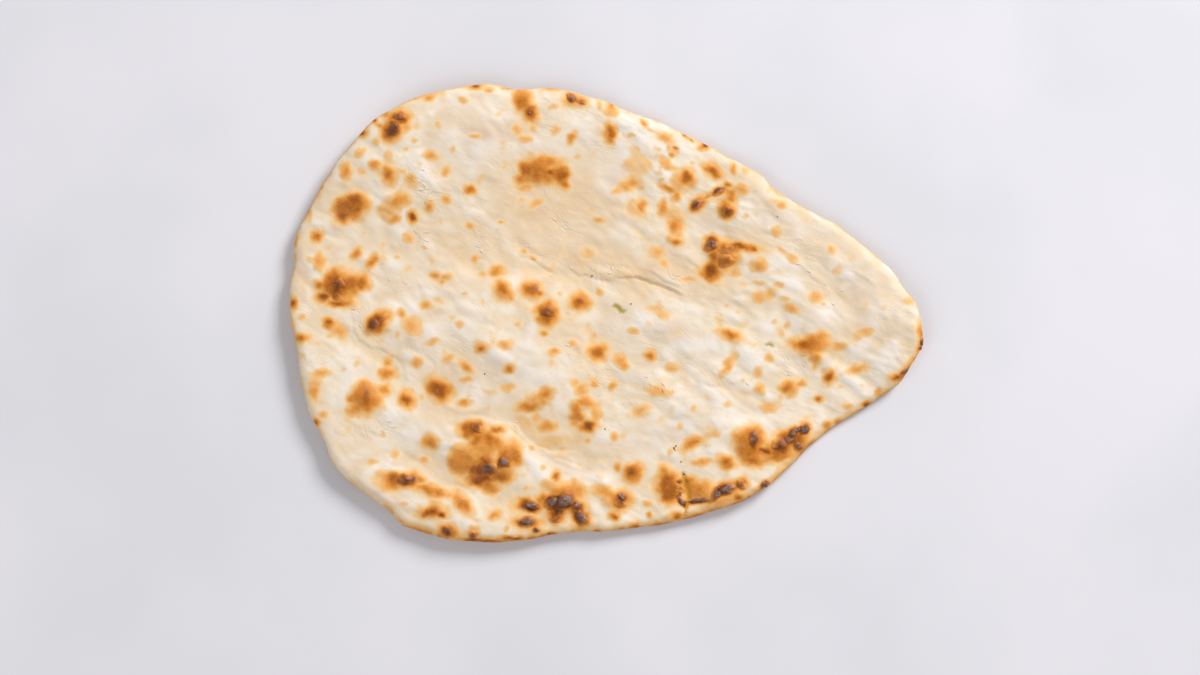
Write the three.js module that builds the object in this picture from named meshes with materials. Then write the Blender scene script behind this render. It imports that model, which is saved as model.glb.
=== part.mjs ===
// A large teardrop naan: one thin leavened flatbread, stretched to a point at one end,
// baked on one side against a hot wall and blistered on the other.
// Millimetres, +Z up. X runs from the broad end to the tip and Y across the bread.
// The origin is on the surface that the bread lies on, below the middle of its box.
import * as THREE from 'three';

// ---- driving dimensions -------------------------------------------------------------
const LENGTH = 316; // broad end to tip
const WIDTH = 229; // across the widest stretch
const DOUGH_THICKNESS = 5.4; // flat dough between the blisters
const RIM_HEIGHT = 2.2; // outermost line of the edge above the underside
const RIM_ROUND_ABOVE = 5.5; // how far in the edge reaches its full thickness
const RIM_ROUND_BELOW = 2.4; // how far in the underside turns up to the edge
const EDGE_RING_INSET = 0.6; // first ring of points inside the edge line
const EDGE_WAVES = [
  { height: 0.7, bumps: 6 }, // slow hand-stretched waves along the edge, in waves per radian
  { height: 0.5, bumps: 15 },
];
const UNDERSIDE_SHARE = 0.5; // how much of a fold shows on the underside
const UNDERSIDE_LUMP_SHARE = 0.2;
const SEAT_DROP = 2.4; // how much of the sheet's sag is pressed flat where it rests
const RINGS = 36; // rings of points on the top, half as many below
const RING_CROWDING = 0.35; // rings draw closer together towards the edge

// The outline's natural centre, from which the rings spread.
const CENTRE = [-15, 0];

// Outline, counter-clockwise from the tip, as a smooth closed curve through these points.
const OUTLINE = [
  [158, -11.8], [152.5, 7.8], [127, 36.3], [86, 61.3], [72, 73.3],
  [19.5, 99.8], [-23, 112.3], [-45.5, 112.5], [-65.5, 114.8], [-103, 104.8],
  [-130.5, 80.8], [-152.5, 45.8], [-155.8, 25.8], [-157.8, 4.3], [-150, -43.3],
  [-142.5, -59.3], [-135.5, -75.3], [-122, -88.3], [-108, -97.8], [-99, -105.8],
  [-78, -112.3], [-55.5, -114], [-23, -110.3], [17, -106.8], [47, -101],
  [69.5, -93.3], [85, -83.3], [107, -61.8], [142, -37.3], [152.5, -24.8],
];

// How the whole sheet sags and lifts: x, y, radius, height.
const LIFTS = [
  [-104, 100, 58, 11], // far broad corner
  [164, -4, 52, 9], // tip
  [78, -96, 44, 6],
  [-166, -10, 46, 7], // broad end
  [-50, -10, 50, 6.5], // puffed middle
  [82, 62, 44, 6],
  [-66, -122, 46, 6],
  [-14, 122, 46, 5.5],
  [2, -128, 42, 4.5],
  [-140, -80, 46, 6], // near broad corner
  [-172, 68, 42, 4.5],
];

// Soft folds: height (a valley is negative), reach to the left and to the right of
// the path, and the path itself.
const FOLDS = [
  { height: -2.4, left: 26, right: 9, path: [[-112, 42], [-73, 28], [-38, 24], [-3, 18], [42, 10], [72, 5]] },
  { height: 1.8, left: 13, right: 16, path: [[-95, 92], [-43, 89], [-3, 92], [22, 82], [57, 58]] },
  { height: 1.7, left: 9, right: 10, path: [[-6, 8], [37, -9], [70, -24], [102, -45]] },
  { height: 1.7, left: 9, right: 8, path: [[-82, -10], [-40, -19], [-20, -39], [0, -64]] },
  { height: -1.2, left: 14, right: 8, path: [[-18, 4], [3, -28], [22, -66]] },
  { height: -1.2, left: 7, right: 7, path: [[18, -19], [47, -35], [84, -46]] },
  { height: 1.5, left: 8, right: 9, path: [[14, -38], [47, -56], [90, -66]] },
  { height: 1.5, left: 8, right: 8, path: [[-138, 3], [-105, -7], [-76, -12]] },
  { height: -1.2, left: 9, right: 6, path: [[-128, 10], [-124, -12], [-110, -21], [-101, -32], [-90, -42]] },
  { height: 1.6, left: 8, right: 8, path: [[-136, -20], [-115, -47], [-88, -61], [-50, -72]] },
  { height: -0.6, left: 9, right: 6, path: [[-96, -32], [-63, -46], [-38, -51]] },
  { height: -1.7, left: 13, right: 5, path: [[-58, -42], [-38, -63], [-13, -75], [25, -80]] },
  { height: 1.5, left: 9, right: 14, path: [[-76, -54], [-43, -71], [-18, -82], [16, -94]] },
  { height: -1.3, left: 11, right: 5, path: [[-112, -58], [-88, -82], [-63, -90], [-28, -95]] },
  { height: 1.4, left: 7, right: 7, path: [[-130, -70], [-103, -93], [-78, -101], [-33, -107]] },
  { height: 1.2, left: 9, right: 9, path: [[70, 37], [97, 7], [110, -24]] },
  { height: -0.7, left: 8, right: 8, path: [[88, 46], [112, 14], [125, -16]] },
  { height: 0.6, left: 7, right: 8, path: [[101, 45], [132, 14], [145, -14]] },
  { height: -1.0, left: 8, right: 8, path: [[64, 14], [87, -16], [100, -46]] },
];

// Soft swells, and hollows with a negative height: x, y, radius, height.
const SWELLS = [
  [58, 42, 11, -1.3],
  [37, 40, 12, 1.1],
  [-62, 80, 14, 0.9],
  [-112, 66, 15, 0.9],
  [-90, 60, 13, 0.7],
  [-26, 57, 26, -1.3],
  [36, 20, 9, -0.8],
  [-24, -46, 8, 0.8],
];

// Blisters that the oven browned: x, y, half length, half width, turn in degrees, height.
const BLISTERS = [
  [-105, 94, 7.5, 5.5, 75, 1.0],
  [-126.5, 53, 9, 8.5, 0, 1.0],
  [-39.5, 104, 7.5, 4.5, 90, 0.7],
  [-31.5, 71, 14, 8, 0, 1.2],
  [-134, 13, 9.5, 9, 0, 1.2],
  [-114.5, -5, 7.5, 4.5, 40, 1.0],
  [-51, 11, 4.5, 4, 0, 0.6],
  [-37, 11, 6, 4, -35, 0.7],
  [-29.5, 0, 6, 5, 90, 1.0],
  [-13, 6, 4.5, 4, 0, 0.6],
  [56, 29, 10, 8, 100, 1.3],
  [60, 54, 6, 5, 90, 0.8],
  [45.5, 55, 4, 4, 0, 0.5],
  [104, -17, 14, 8, 10, 1.2],
  [111.5, -31, 4.5, 4.5, 0, 0.6],
  [92, -36, 6, 4, 10, 0.7],
  [-120, -43, 9, 8, 90, 1.1],
  [-83, -38, 7, 5, -35, 0.9],
  [-109.5, -29, 5, 3.5, 90, 0.5],
  [-99.5, -42, 4, 4, 0, 0.6],
  [-60.5, -71, 18, 17, 0, 1.4],
  [-51.5, -75, 7, 6, 0, 1.3],
  [-63, -80, 6, 5, 0, 0.8],
  [-10, -50, 9, 8, 90, 0.9],
  [-34, -43, 10, 5, 30, 0.7],
  [-4, -19, 5, 4.5, 0, 0.7],
  [-22, -94, 13, 8, 0, 1.3],
  [-38, -96, 7, 4.5, 0, 0.7],
  [3.5, -92, 10, 5.5, -15, 0.9],
  [13, -80, 6, 5, 0, 0.7],
  [31, -86, 10, 7, 90, 1.1],
  [52, -89, 12, 5.5, 5, 1.1],
  [71, -65, 10, 7, 90, 1.1],
  [92, -63, 14, 6, 18, 1.3],
  [-100.5, -82, 9, 4.5, -5, 0.8],
  [-86.5, -100, 7, 4, 0, 0.7],
];

// Grain of the stretched dough: ripples that run slantwise across it, and round lumps.
const STRETCH_TURN = THREE.MathUtils.degToRad(-30);
const RIPPLE = { along: 24, across: 10, broadEnd: 0.22, tipEnd: 0.6, growFrom: -60, growTo: 60 };
const RIPPLE_BEND = { size: 30, share: 0.3 }; // how ripples curve, in their own lengths
const LUMPS = { size: 15, height: 0.4 };
const SMALL_LUMPS = { size: 7, height: 0.16 };
const FOLD_WANDER = { size: 28, reach: 3 }; // folds wander a little off their paths
const SEEDS = { ripples: 1, lumps: 2, smallLumps: 3, bend: 5, wanderX: 11, wanderY: 12, edge: 21 };

// ---- helpers --------------------------------------------------------------------------
const { clamp, lerp } = THREE.MathUtils;

// A soft step from 0 to 1.
function ease(value) {
  const t = clamp(value, 0, 1);
  return t * t * (3 - 2 * t);
}

// A repeatable random number from 0 to 1 for a whole-number place.
function placeRandom(column, row, seed) {
  const wave = Math.sin(column * 127.1 + row * 311.7 + seed * 74.7) * 43758.5453;
  return wave - Math.floor(wave);
}

// Smooth noise from -1 to 1, with bumps about one unit across.
function noise(x, y, seed) {
  const column = Math.floor(x);
  const row = Math.floor(y);
  const smooth = (f) => f * f * f * (f * (f * 6 - 15) + 10);
  const across = smooth(x - column);
  const up = smooth(y - row);
  const near = lerp(placeRandom(column, row, seed), placeRandom(column + 1, row, seed), across);
  const far = lerp(placeRandom(column, row + 1, seed), placeRandom(column + 1, row + 1, seed), across);
  return lerp(near, far, up) * 2 - 1;
}

function smoothCurve(points, closed) {
  const corners = points.map(([x, y]) => new THREE.Vector3(x, y, 0));
  return new THREE.CatmullRomCurve3(corners, closed, 'catmullrom', 0.5);
}

// ---- the sheet's relief ---------------------------------------------------------------
function bump(x, y, [centreX, centreY, radius, height]) {
  const distance = Math.hypot(x - centreX, y - centreY) / radius;
  return height * Math.exp(-distance * distance);
}

function sumOfBumps(x, y, bumps) {
  return bumps.reduce((sum, one) => sum + bump(x, y, one), 0);
}

const FOLD_STEPS = 24;
const foldLines = FOLDS.map((fold) => ({
  ...fold,
  line: smoothCurve(fold.path, false).getSpacedPoints(FOLD_STEPS),
}));

// Nearest place on a fold's line: distance, signed side (left is positive), share along it.
function nearestOnLine(x, y, line) {
  let best = { distance: Infinity, side: 0, along: 0 };
  for (let step = 0; step < line.length - 1; step += 1) {
    const start = line[step];
    const runX = line[step + 1].x - start.x;
    const runY = line[step + 1].y - start.y;
    const run = Math.hypot(runX, runY);
    const t = clamp(((x - start.x) * runX + (y - start.y) * runY) / (run * run), 0, 1);
    const offX = x - start.x - t * runX;
    const offY = y - start.y - t * runY;
    const distance = Math.hypot(offX, offY);
    if (distance < best.distance) {
      best = {
        distance,
        side: (runX * offY - runY * offX) / run,
        along: (step + t) / (line.length - 1),
      };
    }
  }
  return best;
}

const FOLD_END = 0.3; // share of its length over which a fold fades at each end

function foldHeight(x, y, { height, left, right, line }) {
  const { distance, side, along } = nearestOnLine(x, y, line);
  const reach = lerp(right, left, ease(0.5 + side / (2 * right)));
  const taper = ease(along / FOLD_END) * ease((1 - along) / FOLD_END);
  return height * taper * Math.exp(-((distance / reach) ** 2));
}

function foldRelief(x, y) {
  const { size, reach } = FOLD_WANDER;
  const movedX = x + reach * noise(x / size, y / size, SEEDS.wanderX);
  const movedY = y + reach * noise(x / size, y / size, SEEDS.wanderY);
  const folds = foldLines.reduce((sum, fold) => sum + foldHeight(movedX, movedY, fold), 0);
  return folds + sumOfBumps(movedX, movedY, SWELLS);
}

function lumpRelief(x, y) {
  const along = x * Math.cos(STRETCH_TURN) + y * Math.sin(STRETCH_TURN);
  const across = -x * Math.sin(STRETCH_TURN) + y * Math.cos(STRETCH_TURN);
  const bend = RIPPLE_BEND.share * noise(x / RIPPLE_BEND.size, y / RIPPLE_BEND.size, SEEDS.bend);
  const towardsTip = ease((x - RIPPLE.growFrom) / (RIPPLE.growTo - RIPPLE.growFrom));
  const rippleHeight = lerp(RIPPLE.broadEnd, RIPPLE.tipEnd, towardsTip);
  const ripples = rippleHeight * noise(along / RIPPLE.along + bend, across / RIPPLE.across, SEEDS.ripples);
  const lumps = LUMPS.height * noise(x / LUMPS.size, y / LUMPS.size, SEEDS.lumps);
  const small = SMALL_LUMPS.height
    * noise(x / SMALL_LUMPS.size, y / SMALL_LUMPS.size, SEEDS.smallLumps);
  return ripples + lumps + small;
}

const BLISTER_SPREAD = 1.4; // square of how far past its oval a blister's foot reaches

function blisterRelief(x, y) {
  let height = 0;
  for (const [centreX, centreY, halfLength, halfWidth, turn, dome] of BLISTERS) {
    const angle = THREE.MathUtils.degToRad(turn);
    const offX = x - centreX;
    const offY = y - centreY;
    const along = (offX * Math.cos(angle) + offY * Math.sin(angle)) / halfLength;
    const across = (-offX * Math.sin(angle) + offY * Math.cos(angle)) / halfWidth;
    const room = Math.max(0, 1 - (along * along + across * across) / BLISTER_SPREAD);
    height += dome * room * room;
  }
  return height;
}

// Height of the underside, away from the edge. Where the sheet would sag below the
// surface that it lies on, it is flat.
function sheetHeight(x, y) {
  const relief = UNDERSIDE_SHARE * foldRelief(x, y) + UNDERSIDE_LUMP_SHARE * lumpRelief(x, y);
  return Math.max(0, sumOfBumps(x, y, LIFTS) + relief - SEAT_DROP);
}

// Height of the top for a point so far in from the edge.
function topHeight(x, y, inset) {
  const near = 1 - clamp(inset / RIM_ROUND_ABOVE, 0, 1);
  const rounded = Math.sqrt(1 - near * near);
  const dough = lerp(RIM_HEIGHT, DOUGH_THICKNESS, rounded);
  const folds = (1 - UNDERSIDE_SHARE) * foldRelief(x, y);
  const lumps = (1 - UNDERSIDE_LUMP_SHARE) * lumpRelief(x, y);
  const relief = (folds + lumps + blisterRelief(x, y)) * ease(inset / RIM_ROUND_ABOVE);
  return sheetHeight(x, y) + dough + relief;
}

// Height of the underside for a point so far in from the edge.
function undersideHeight(x, y, inset) {
  const near = 1 - clamp(inset / RIM_ROUND_BELOW, 0, 1);
  return sheetHeight(x, y) + RIM_HEIGHT * (1 - Math.sqrt(1 - near * near));
}

// ---- the mesh: two discs of rings that share the edge line ------------------------------
const EDGE_SAMPLES = 1440;

// Edge point, and how squarely the edge faces the centre, by share of the way round.
function edgeTable() {
  const curve = smoothCurve(OUTLINE, true);
  curve.arcLengthDivisions = EDGE_SAMPLES;
  const spaced = curve.getSpacedPoints(EDGE_SAMPLES).slice(0, EDGE_SAMPLES);
  const rough = spaced.map((point, index) => {
    const next = spaced[(index + 1) % EDGE_SAMPLES];
    const previous = spaced[(index + EDGE_SAMPLES - 1) % EDGE_SAMPLES];
    const outward = new THREE.Vector2(next.y - previous.y, previous.x - next.x).normalize();
    const around = (index / EDGE_SAMPLES) * 2 * Math.PI;
    const swing = EDGE_WAVES.reduce((sum, { height, bumps }, wave) => (
      sum + height * noise(bumps * Math.cos(around), bumps * Math.sin(around), SEEDS.edge + wave)
    ), 0);
    return { x: point.x + outward.x * swing, y: point.y + outward.y * swing, outward };
  });
  const box = new THREE.Box2().setFromPoints(rough);
  const middle = box.getCenter(new THREE.Vector2());
  const size = box.getSize(new THREE.Vector2());
  return rough.map(({ x, y, outward }) => {
    const edge = { x: (x - middle.x) * LENGTH / size.x, y: (y - middle.y) * WIDTH / size.y };
    const facing = (edge.x - CENTRE[0]) * outward.x + (edge.y - CENTRE[1]) * outward.y;
    return { ...edge, facing };
  });
}

const EDGE = edgeTable();

function edgeAt(share) {
  return EDGE[Math.round(share * EDGE_SAMPLES) % EDGE_SAMPLES];
}

// A point on a ring: scale 0 is the centre and 1 the edge line.
function ringPoint(share, scale) {
  const edge = edgeAt(share);
  return {
    x: CENTRE[0] + (edge.x - CENTRE[0]) * scale,
    y: CENTRE[1] + (edge.y - CENTRE[1]) * scale,
    inset: (1 - scale) * edge.facing,
  };
}

function ringScale(part) {
  return part * (1 + RING_CROWDING * (1 - part));
}

// Adds the rings of a disc, from the centre out, and joins them. Returns the outer ring.
function addDisc(mesh, rings, scaleOf, heightOf) {
  let previous = [];
  for (let ring = 0; ring <= rings; ring += 1) {
    const count = Math.max(1, 6 * ring);
    const current = [];
    for (let step = 0; step < count; step += 1) {
      const share = step / count;
      const point = ringPoint(share, scaleOf(ring / rings, share));
      current.push(mesh.addPoint(point.x, point.y, heightOf(point.x, point.y, point.inset)));
    }
    if (ring > 0) joinGrowingRings(mesh, previous, current, ring);
    previous = current;
  }
  return previous;
}

// Each of six sectors gains one point from ring to ring.
function joinGrowingRings(mesh, inner, outer, ring) {
  for (let sector = 0; sector < 6; sector += 1) {
    for (let step = 0; step < ring; step += 1) {
      const innerHere = inner[(sector * (ring - 1) + step) % inner.length];
      const innerNext = inner[(sector * (ring - 1) + step + 1) % inner.length];
      const outerHere = outer[sector * ring + step];
      const outerNext = outer[(sector * ring + step + 1) % outer.length];
      mesh.addTriangle(innerHere, outerHere, outerNext);
      if (step < ring - 1) mesh.addTriangle(innerHere, outerNext, innerNext);
    }
  }
}

// Two rings with the same number of points.
function joinEqualRings(mesh, inner, outer) {
  inner.forEach((here, step) => {
    const next = (step + 1) % inner.length;
    mesh.addTriangle(here, outer[step], outer[next]);
    mesh.addTriangle(here, outer[next], inner[next]);
  });
}

// An inner ring with half as many points as the outer one.
function joinHalfRing(mesh, inner, outer) {
  inner.forEach((here, step) => {
    const next = inner[(step + 1) % inner.length];
    const first = outer[2 * step];
    const middle = outer[2 * step + 1];
    const last = outer[(2 * step + 2) % outer.length];
    mesh.addTriangle(here, first, middle);
    mesh.addTriangle(here, middle, next);
    mesh.addTriangle(next, middle, last);
  });
}

function newMesh() {
  const points = [];
  const triangles = [];
  const mesh = { points, triangles, faceDown: false };
  mesh.addPoint = (x, y, z) => points.push(x, y, z) / 3 - 1;
  mesh.addTriangle = (a, b, c) => triangles.push(...(mesh.faceDown ? [a, c, b] : [a, b, c]));
  return mesh;
}

// A disc's own outer ring stops short of the edge line by the given inset.
function scaleShortOfEdge(inset) {
  return (part, share) => ringScale(part) * (1 - inset / edgeAt(share).facing);
}

function breadGeometry() {
  const mesh = newMesh();
  const topRing = addDisc(mesh, RINGS, scaleShortOfEdge(EDGE_RING_INSET), topHeight);
  const edgeLine = topRing.map((_, step) => {
    const point = ringPoint(step / topRing.length, 1);
    return mesh.addPoint(point.x, point.y, sheetHeight(point.x, point.y) + RIM_HEIGHT);
  });
  joinEqualRings(mesh, topRing, edgeLine);

  mesh.faceDown = true;
  const underRing = addDisc(mesh, RINGS / 2, scaleShortOfEdge(RIM_ROUND_BELOW), undersideHeight);
  joinHalfRing(mesh, underRing, edgeLine);

  const geometry = new THREE.BufferGeometry();
  geometry.setAttribute('position', new THREE.Float32BufferAttribute(mesh.points, 3));
  geometry.setIndex(mesh.triangles);
  geometry.computeVertexNormals();
  return geometry;
}

// ---- the part ---------------------------------------------------------------------------
function makeNaan() {
  const crust = new THREE.MeshStandardMaterial({ color: 0xecd9bd, roughness: 0.7, metalness: 0 });
  const naan = new THREE.Mesh(breadGeometry(), crust);
  naan.name = 'naan';
  return naan;
}

const group = new THREE.Group();
group.add(makeNaan());

export default group;
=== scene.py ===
import math

import bpy
import numpy as np
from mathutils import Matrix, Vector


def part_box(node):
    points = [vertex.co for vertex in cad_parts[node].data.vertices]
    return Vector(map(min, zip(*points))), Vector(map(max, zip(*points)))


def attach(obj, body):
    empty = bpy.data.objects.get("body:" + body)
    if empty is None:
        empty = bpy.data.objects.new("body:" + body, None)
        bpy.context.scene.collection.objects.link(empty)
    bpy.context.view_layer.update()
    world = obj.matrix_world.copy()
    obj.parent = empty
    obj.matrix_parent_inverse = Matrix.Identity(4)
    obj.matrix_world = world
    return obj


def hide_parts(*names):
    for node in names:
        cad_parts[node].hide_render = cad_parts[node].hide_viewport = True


# A large teardrop naan lying on a pale floor. The dough with its rim, folds, blisters, tears
# and browning is one closed mesh. Burnt bubbles, small char blisters, flakes of dry skin and
# specks of char are pieces of their own that sit on it.
# The bread's own sizes below are in millimetres, in the frame of the part.

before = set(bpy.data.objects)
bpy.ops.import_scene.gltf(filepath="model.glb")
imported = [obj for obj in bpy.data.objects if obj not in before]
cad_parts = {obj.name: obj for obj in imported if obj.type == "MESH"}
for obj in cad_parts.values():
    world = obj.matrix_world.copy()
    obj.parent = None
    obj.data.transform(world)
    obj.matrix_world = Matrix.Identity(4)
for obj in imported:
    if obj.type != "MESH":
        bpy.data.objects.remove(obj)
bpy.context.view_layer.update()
BREAD_LOW, BREAD_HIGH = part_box("naan")
MM = 0.001

# ---- the sheet of dough -----------------------------------------------------------------
LENGTH = (BREAD_HIGH[0] - BREAD_LOW[0]) / MM
WIDTH = (BREAD_HIGH[1] - BREAD_LOW[1]) / MM
DOUGH_THICKNESS = 5.4
RIM_HEIGHT = 2.2
RIM_ROUND_ABOVE = 5.5  # how far inside the edge the top starts to curve down
RIM_ROUND_BELOW = 2.4  # and the underside to curve up
UNDERSIDE_SHARE = 0.5  # how much of each fold the underside shows
UNDERSIDE_LUMP_SHARE = 0.2
SEAT_DROP = 2.4  # how far the sheet sinks, so that its lowest parts lie flat on the floor
RINGS = 156
RING_CROWDING = 0.35  # how much closer together the rings of the mesh lie at the edge
CENTRE = (-15, 0)
EDGE_WAVES = [(0.7, 6, 21), (0.5, 15, 22)]  # height, bumps per radian, seed

OUTLINE = [
    (158, -11.8), (152.5, 7.8), (127, 36.3), (86, 61.3), (72, 73.3),
    (19.5, 99.8), (-23, 112.3), (-45.5, 112.5), (-65.5, 114.8), (-103, 104.8),
    (-130.5, 80.8), (-152.5, 45.8), (-155.8, 25.8), (-157.8, 4.3), (-150, -43.3),
    (-142.5, -59.3), (-135.5, -75.3), (-122, -88.3), (-108, -97.8), (-99, -105.8),
    (-78, -112.3), (-55.5, -114), (-23, -110.3), (17, -106.8), (47, -101),
    (69.5, -93.3), (85, -83.3), (107, -61.8), (142, -37.3), (152.5, -24.8),
]

# Where the sheet lifts off the floor: x, y, radius, height
LIFTS = [
    (-104, 100, 58, 11), (164, -4, 52, 9), (78, -96, 44, 6), (-166, -10, 46, 7),
    (-50, -10, 50, 6.5), (82, 62, 44, 6), (-66, -122, 46, 6), (-14, 122, 46, 5.5),
    (2, -128, 42, 4.5), (-140, -80, 46, 6), (-172, 68, 42, 4.5),
]

# Folds, and furrows where the height is negative: height, reach to the left and right of
# the path, path
FOLDS = [
    (-2.4, 26, 9, [(-112, 42), (-73, 28), (-38, 24), (-3, 18), (42, 10), (72, 5)]),
    (1.8, 13, 16, [(-95, 92), (-43, 89), (-3, 92), (22, 82), (57, 58)]),
    (1.7, 9, 10, [(-6, 8), (37, -9), (70, -24), (102, -45)]),
    (1.7, 9, 8, [(-82, -10), (-40, -19), (-20, -39), (0, -64)]),
    (-1.2, 14, 8, [(-18, 4), (3, -28), (22, -66)]),
    (-1.2, 7, 7, [(18, -19), (47, -35), (84, -46)]),
    (1.5, 8, 9, [(14, -38), (47, -56), (90, -66)]),
    (1.5, 8, 8, [(-138, 3), (-105, -7), (-76, -12)]),
    (-1.2, 9, 6, [(-128, 10), (-124, -12), (-110, -21), (-101, -32), (-90, -42)]),
    (1.6, 8, 8, [(-136, -20), (-115, -47), (-88, -61), (-50, -72)]),
    (-0.6, 9, 6, [(-96, -32), (-63, -46), (-38, -51)]),
    (-1.7, 13, 5, [(-58, -42), (-38, -63), (-13, -75), (25, -80)]),
    (1.5, 9, 14, [(-76, -54), (-43, -71), (-18, -82), (16, -94)]),
    (-1.3, 11, 5, [(-112, -58), (-88, -82), (-63, -90), (-28, -95)]),
    (1.4, 7, 7, [(-130, -70), (-103, -93), (-78, -101), (-33, -107)]),
    (1.2, 9, 9, [(70, 37), (97, 7), (110, -24)]),
    (-0.7, 8, 8, [(88, 46), (112, 14), (125, -16)]),
    (0.6, 7, 8, [(101, 45), (132, 14), (145, -14)]),
    (-1.0, 8, 8, [(64, 14), (87, -16), (100, -46)]),
]
FOLD_WANDER = [(28, 3, 11)]  # size, reach, seed
FOLD_STEPS = 24
FOLD_END = 0.3  # the share of its length over which a fold dies out

# Broad swells and hollows: x, y, radius, height
SWELLS = [
    (58, 42, 11, -1.3), (37, 40, 12, 1.1), (-62, 80, 14, 0.9), (-112, 66, 15, 0.9),
    (-90, 60, 13, 0.7), (-26, 57, 26, -1.3), (36, 20, 9, -0.8), (-24, -46, 8, 0.8),
]

# Large blisters: x, y, half length, half width, turn in degrees, height
BLISTERS = [
    (-105, 94, 7.5, 5.5, 75, 1.0), (-126.5, 53, 9, 8.5, 0, 1.0), (-39.5, 104, 7.5, 4.5, 90, 0.7),
    (-31.5, 71, 14, 8, 0, 1.2), (-134, 13, 9.5, 9, 0, 1.2), (-114.5, -5, 7.5, 4.5, 40, 1.0),
    (-51, 11, 4.5, 4, 0, 0.6), (-37, 11, 6, 4, -35, 0.7), (-29.5, 0, 6, 5, 90, 1.0),
    (-13, 6, 4.5, 4, 0, 0.6), (56, 29, 10, 8, 100, 1.3), (60, 54, 6, 5, 90, 0.8),
    (45.5, 55, 4, 4, 0, 0.5), (104, -17, 14, 8, 10, 1.2), (111.5, -31, 4.5, 4.5, 0, 0.6),
    (92, -36, 6, 4, 10, 0.7), (-120, -43, 9, 8, 90, 1.1), (-83, -38, 7, 5, -35, 0.9),
    (-109.5, -29, 5, 3.5, 90, 0.5), (-99.5, -42, 4, 4, 0, 0.6), (-60.5, -71, 18, 17, 0, 1.4),
    (-51.5, -75, 7, 6, 0, 1.3), (-63, -80, 6, 5, 0, 0.8), (-10, -50, 9, 8, 90, 0.9),
    (-34, -43, 10, 5, 30, 0.7), (-4, -19, 5, 4.5, 0, 0.7), (-22, -94, 13, 8, 0, 1.3),
    (-38, -96, 7, 4.5, 0, 0.7), (3.5, -92, 10, 5.5, -15, 0.9), (13, -80, 6, 5, 0, 0.7),
    (31, -86, 10, 7, 90, 1.1), (52, -89, 12, 5.5, 5, 1.1), (71, -65, 10, 7, 90, 1.1),
    (92, -63, 14, 6, 18, 1.3), (-100.5, -82, 9, 4.5, -5, 0.8), (-86.5, -100, 7, 4, 0, 0.7),
]
BLISTER_FOOT = 1.4  # the square of how far out a blister's foot lies, where its oval is at 1

# Here and below, a list of noise layers gives each one's size, height or reach, and seed.
STRETCH_TURN = math.radians(-30)  # the way the dough was pulled; ripples, puffs and streaks follow it
RIPPLE_ALONG, RIPPLE_ACROSS, RIPPLE_SEED = 24, 10, 1
RIPPLE_BROAD_END, RIPPLE_TIP_END = 0.22, 0.6  # height at the two ends
RIPPLE_GROWS_FROM, RIPPLE_GROWS_TO = -60, 60  # and the places between which it grows
RIPPLE_BEND = [(30, 0.3, 5)]
LUMPS = [(15, 0.4, 2), (7, 0.16, 3)]

PUFFS = [(13, 1.4, 41), (7, 0.66, 43), (3.6, 0.14, 45)]
PUFF_ROUNDING = 0.16
PUFF_GROUND = 0.3  # the part of a puff's height that counts as level ground
PUFF_STRETCH = 1.6  # how much longer a puff is along the pull of the dough than across it
PUFF_BEND, PUFF_BEND_SIZE = 0.35, 1.7  # how far rows of puffs bend, and over what length, in puffs
PUFF_PATCH, PUFF_PATCH_SWING, PUFF_PATCH_SIZE = 0.75, 0.55, 3  # patches with more puffs, in puffs
PUFF_SEED_STEP = 10
SMOOTH_PLACE, SMOOTH_REACH, SMOOTHING = (-25, 68), (45, 28), 0.55  # where puffs are flatter

STREAKS = [(19, 5.2, 0.21, 47), (8, 2.2, 0.03, 48)]  # length, width, height, seed
STREAK_ROUNDING, STREAK_FALL = 0.02, 1.4
STREAK_BEND, STREAK_SEED_STEP = 0.8, 30
STREAK_PATCH, STREAK_PATCHES = 0.6, [(26, 0.5, 49)]
STREAK_BROAD_END, STREAK_TIP_GAIN = 0.55, 0.75
STREAK_GROWS_FROM, STREAK_GROWS_TO = -50, 60

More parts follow.
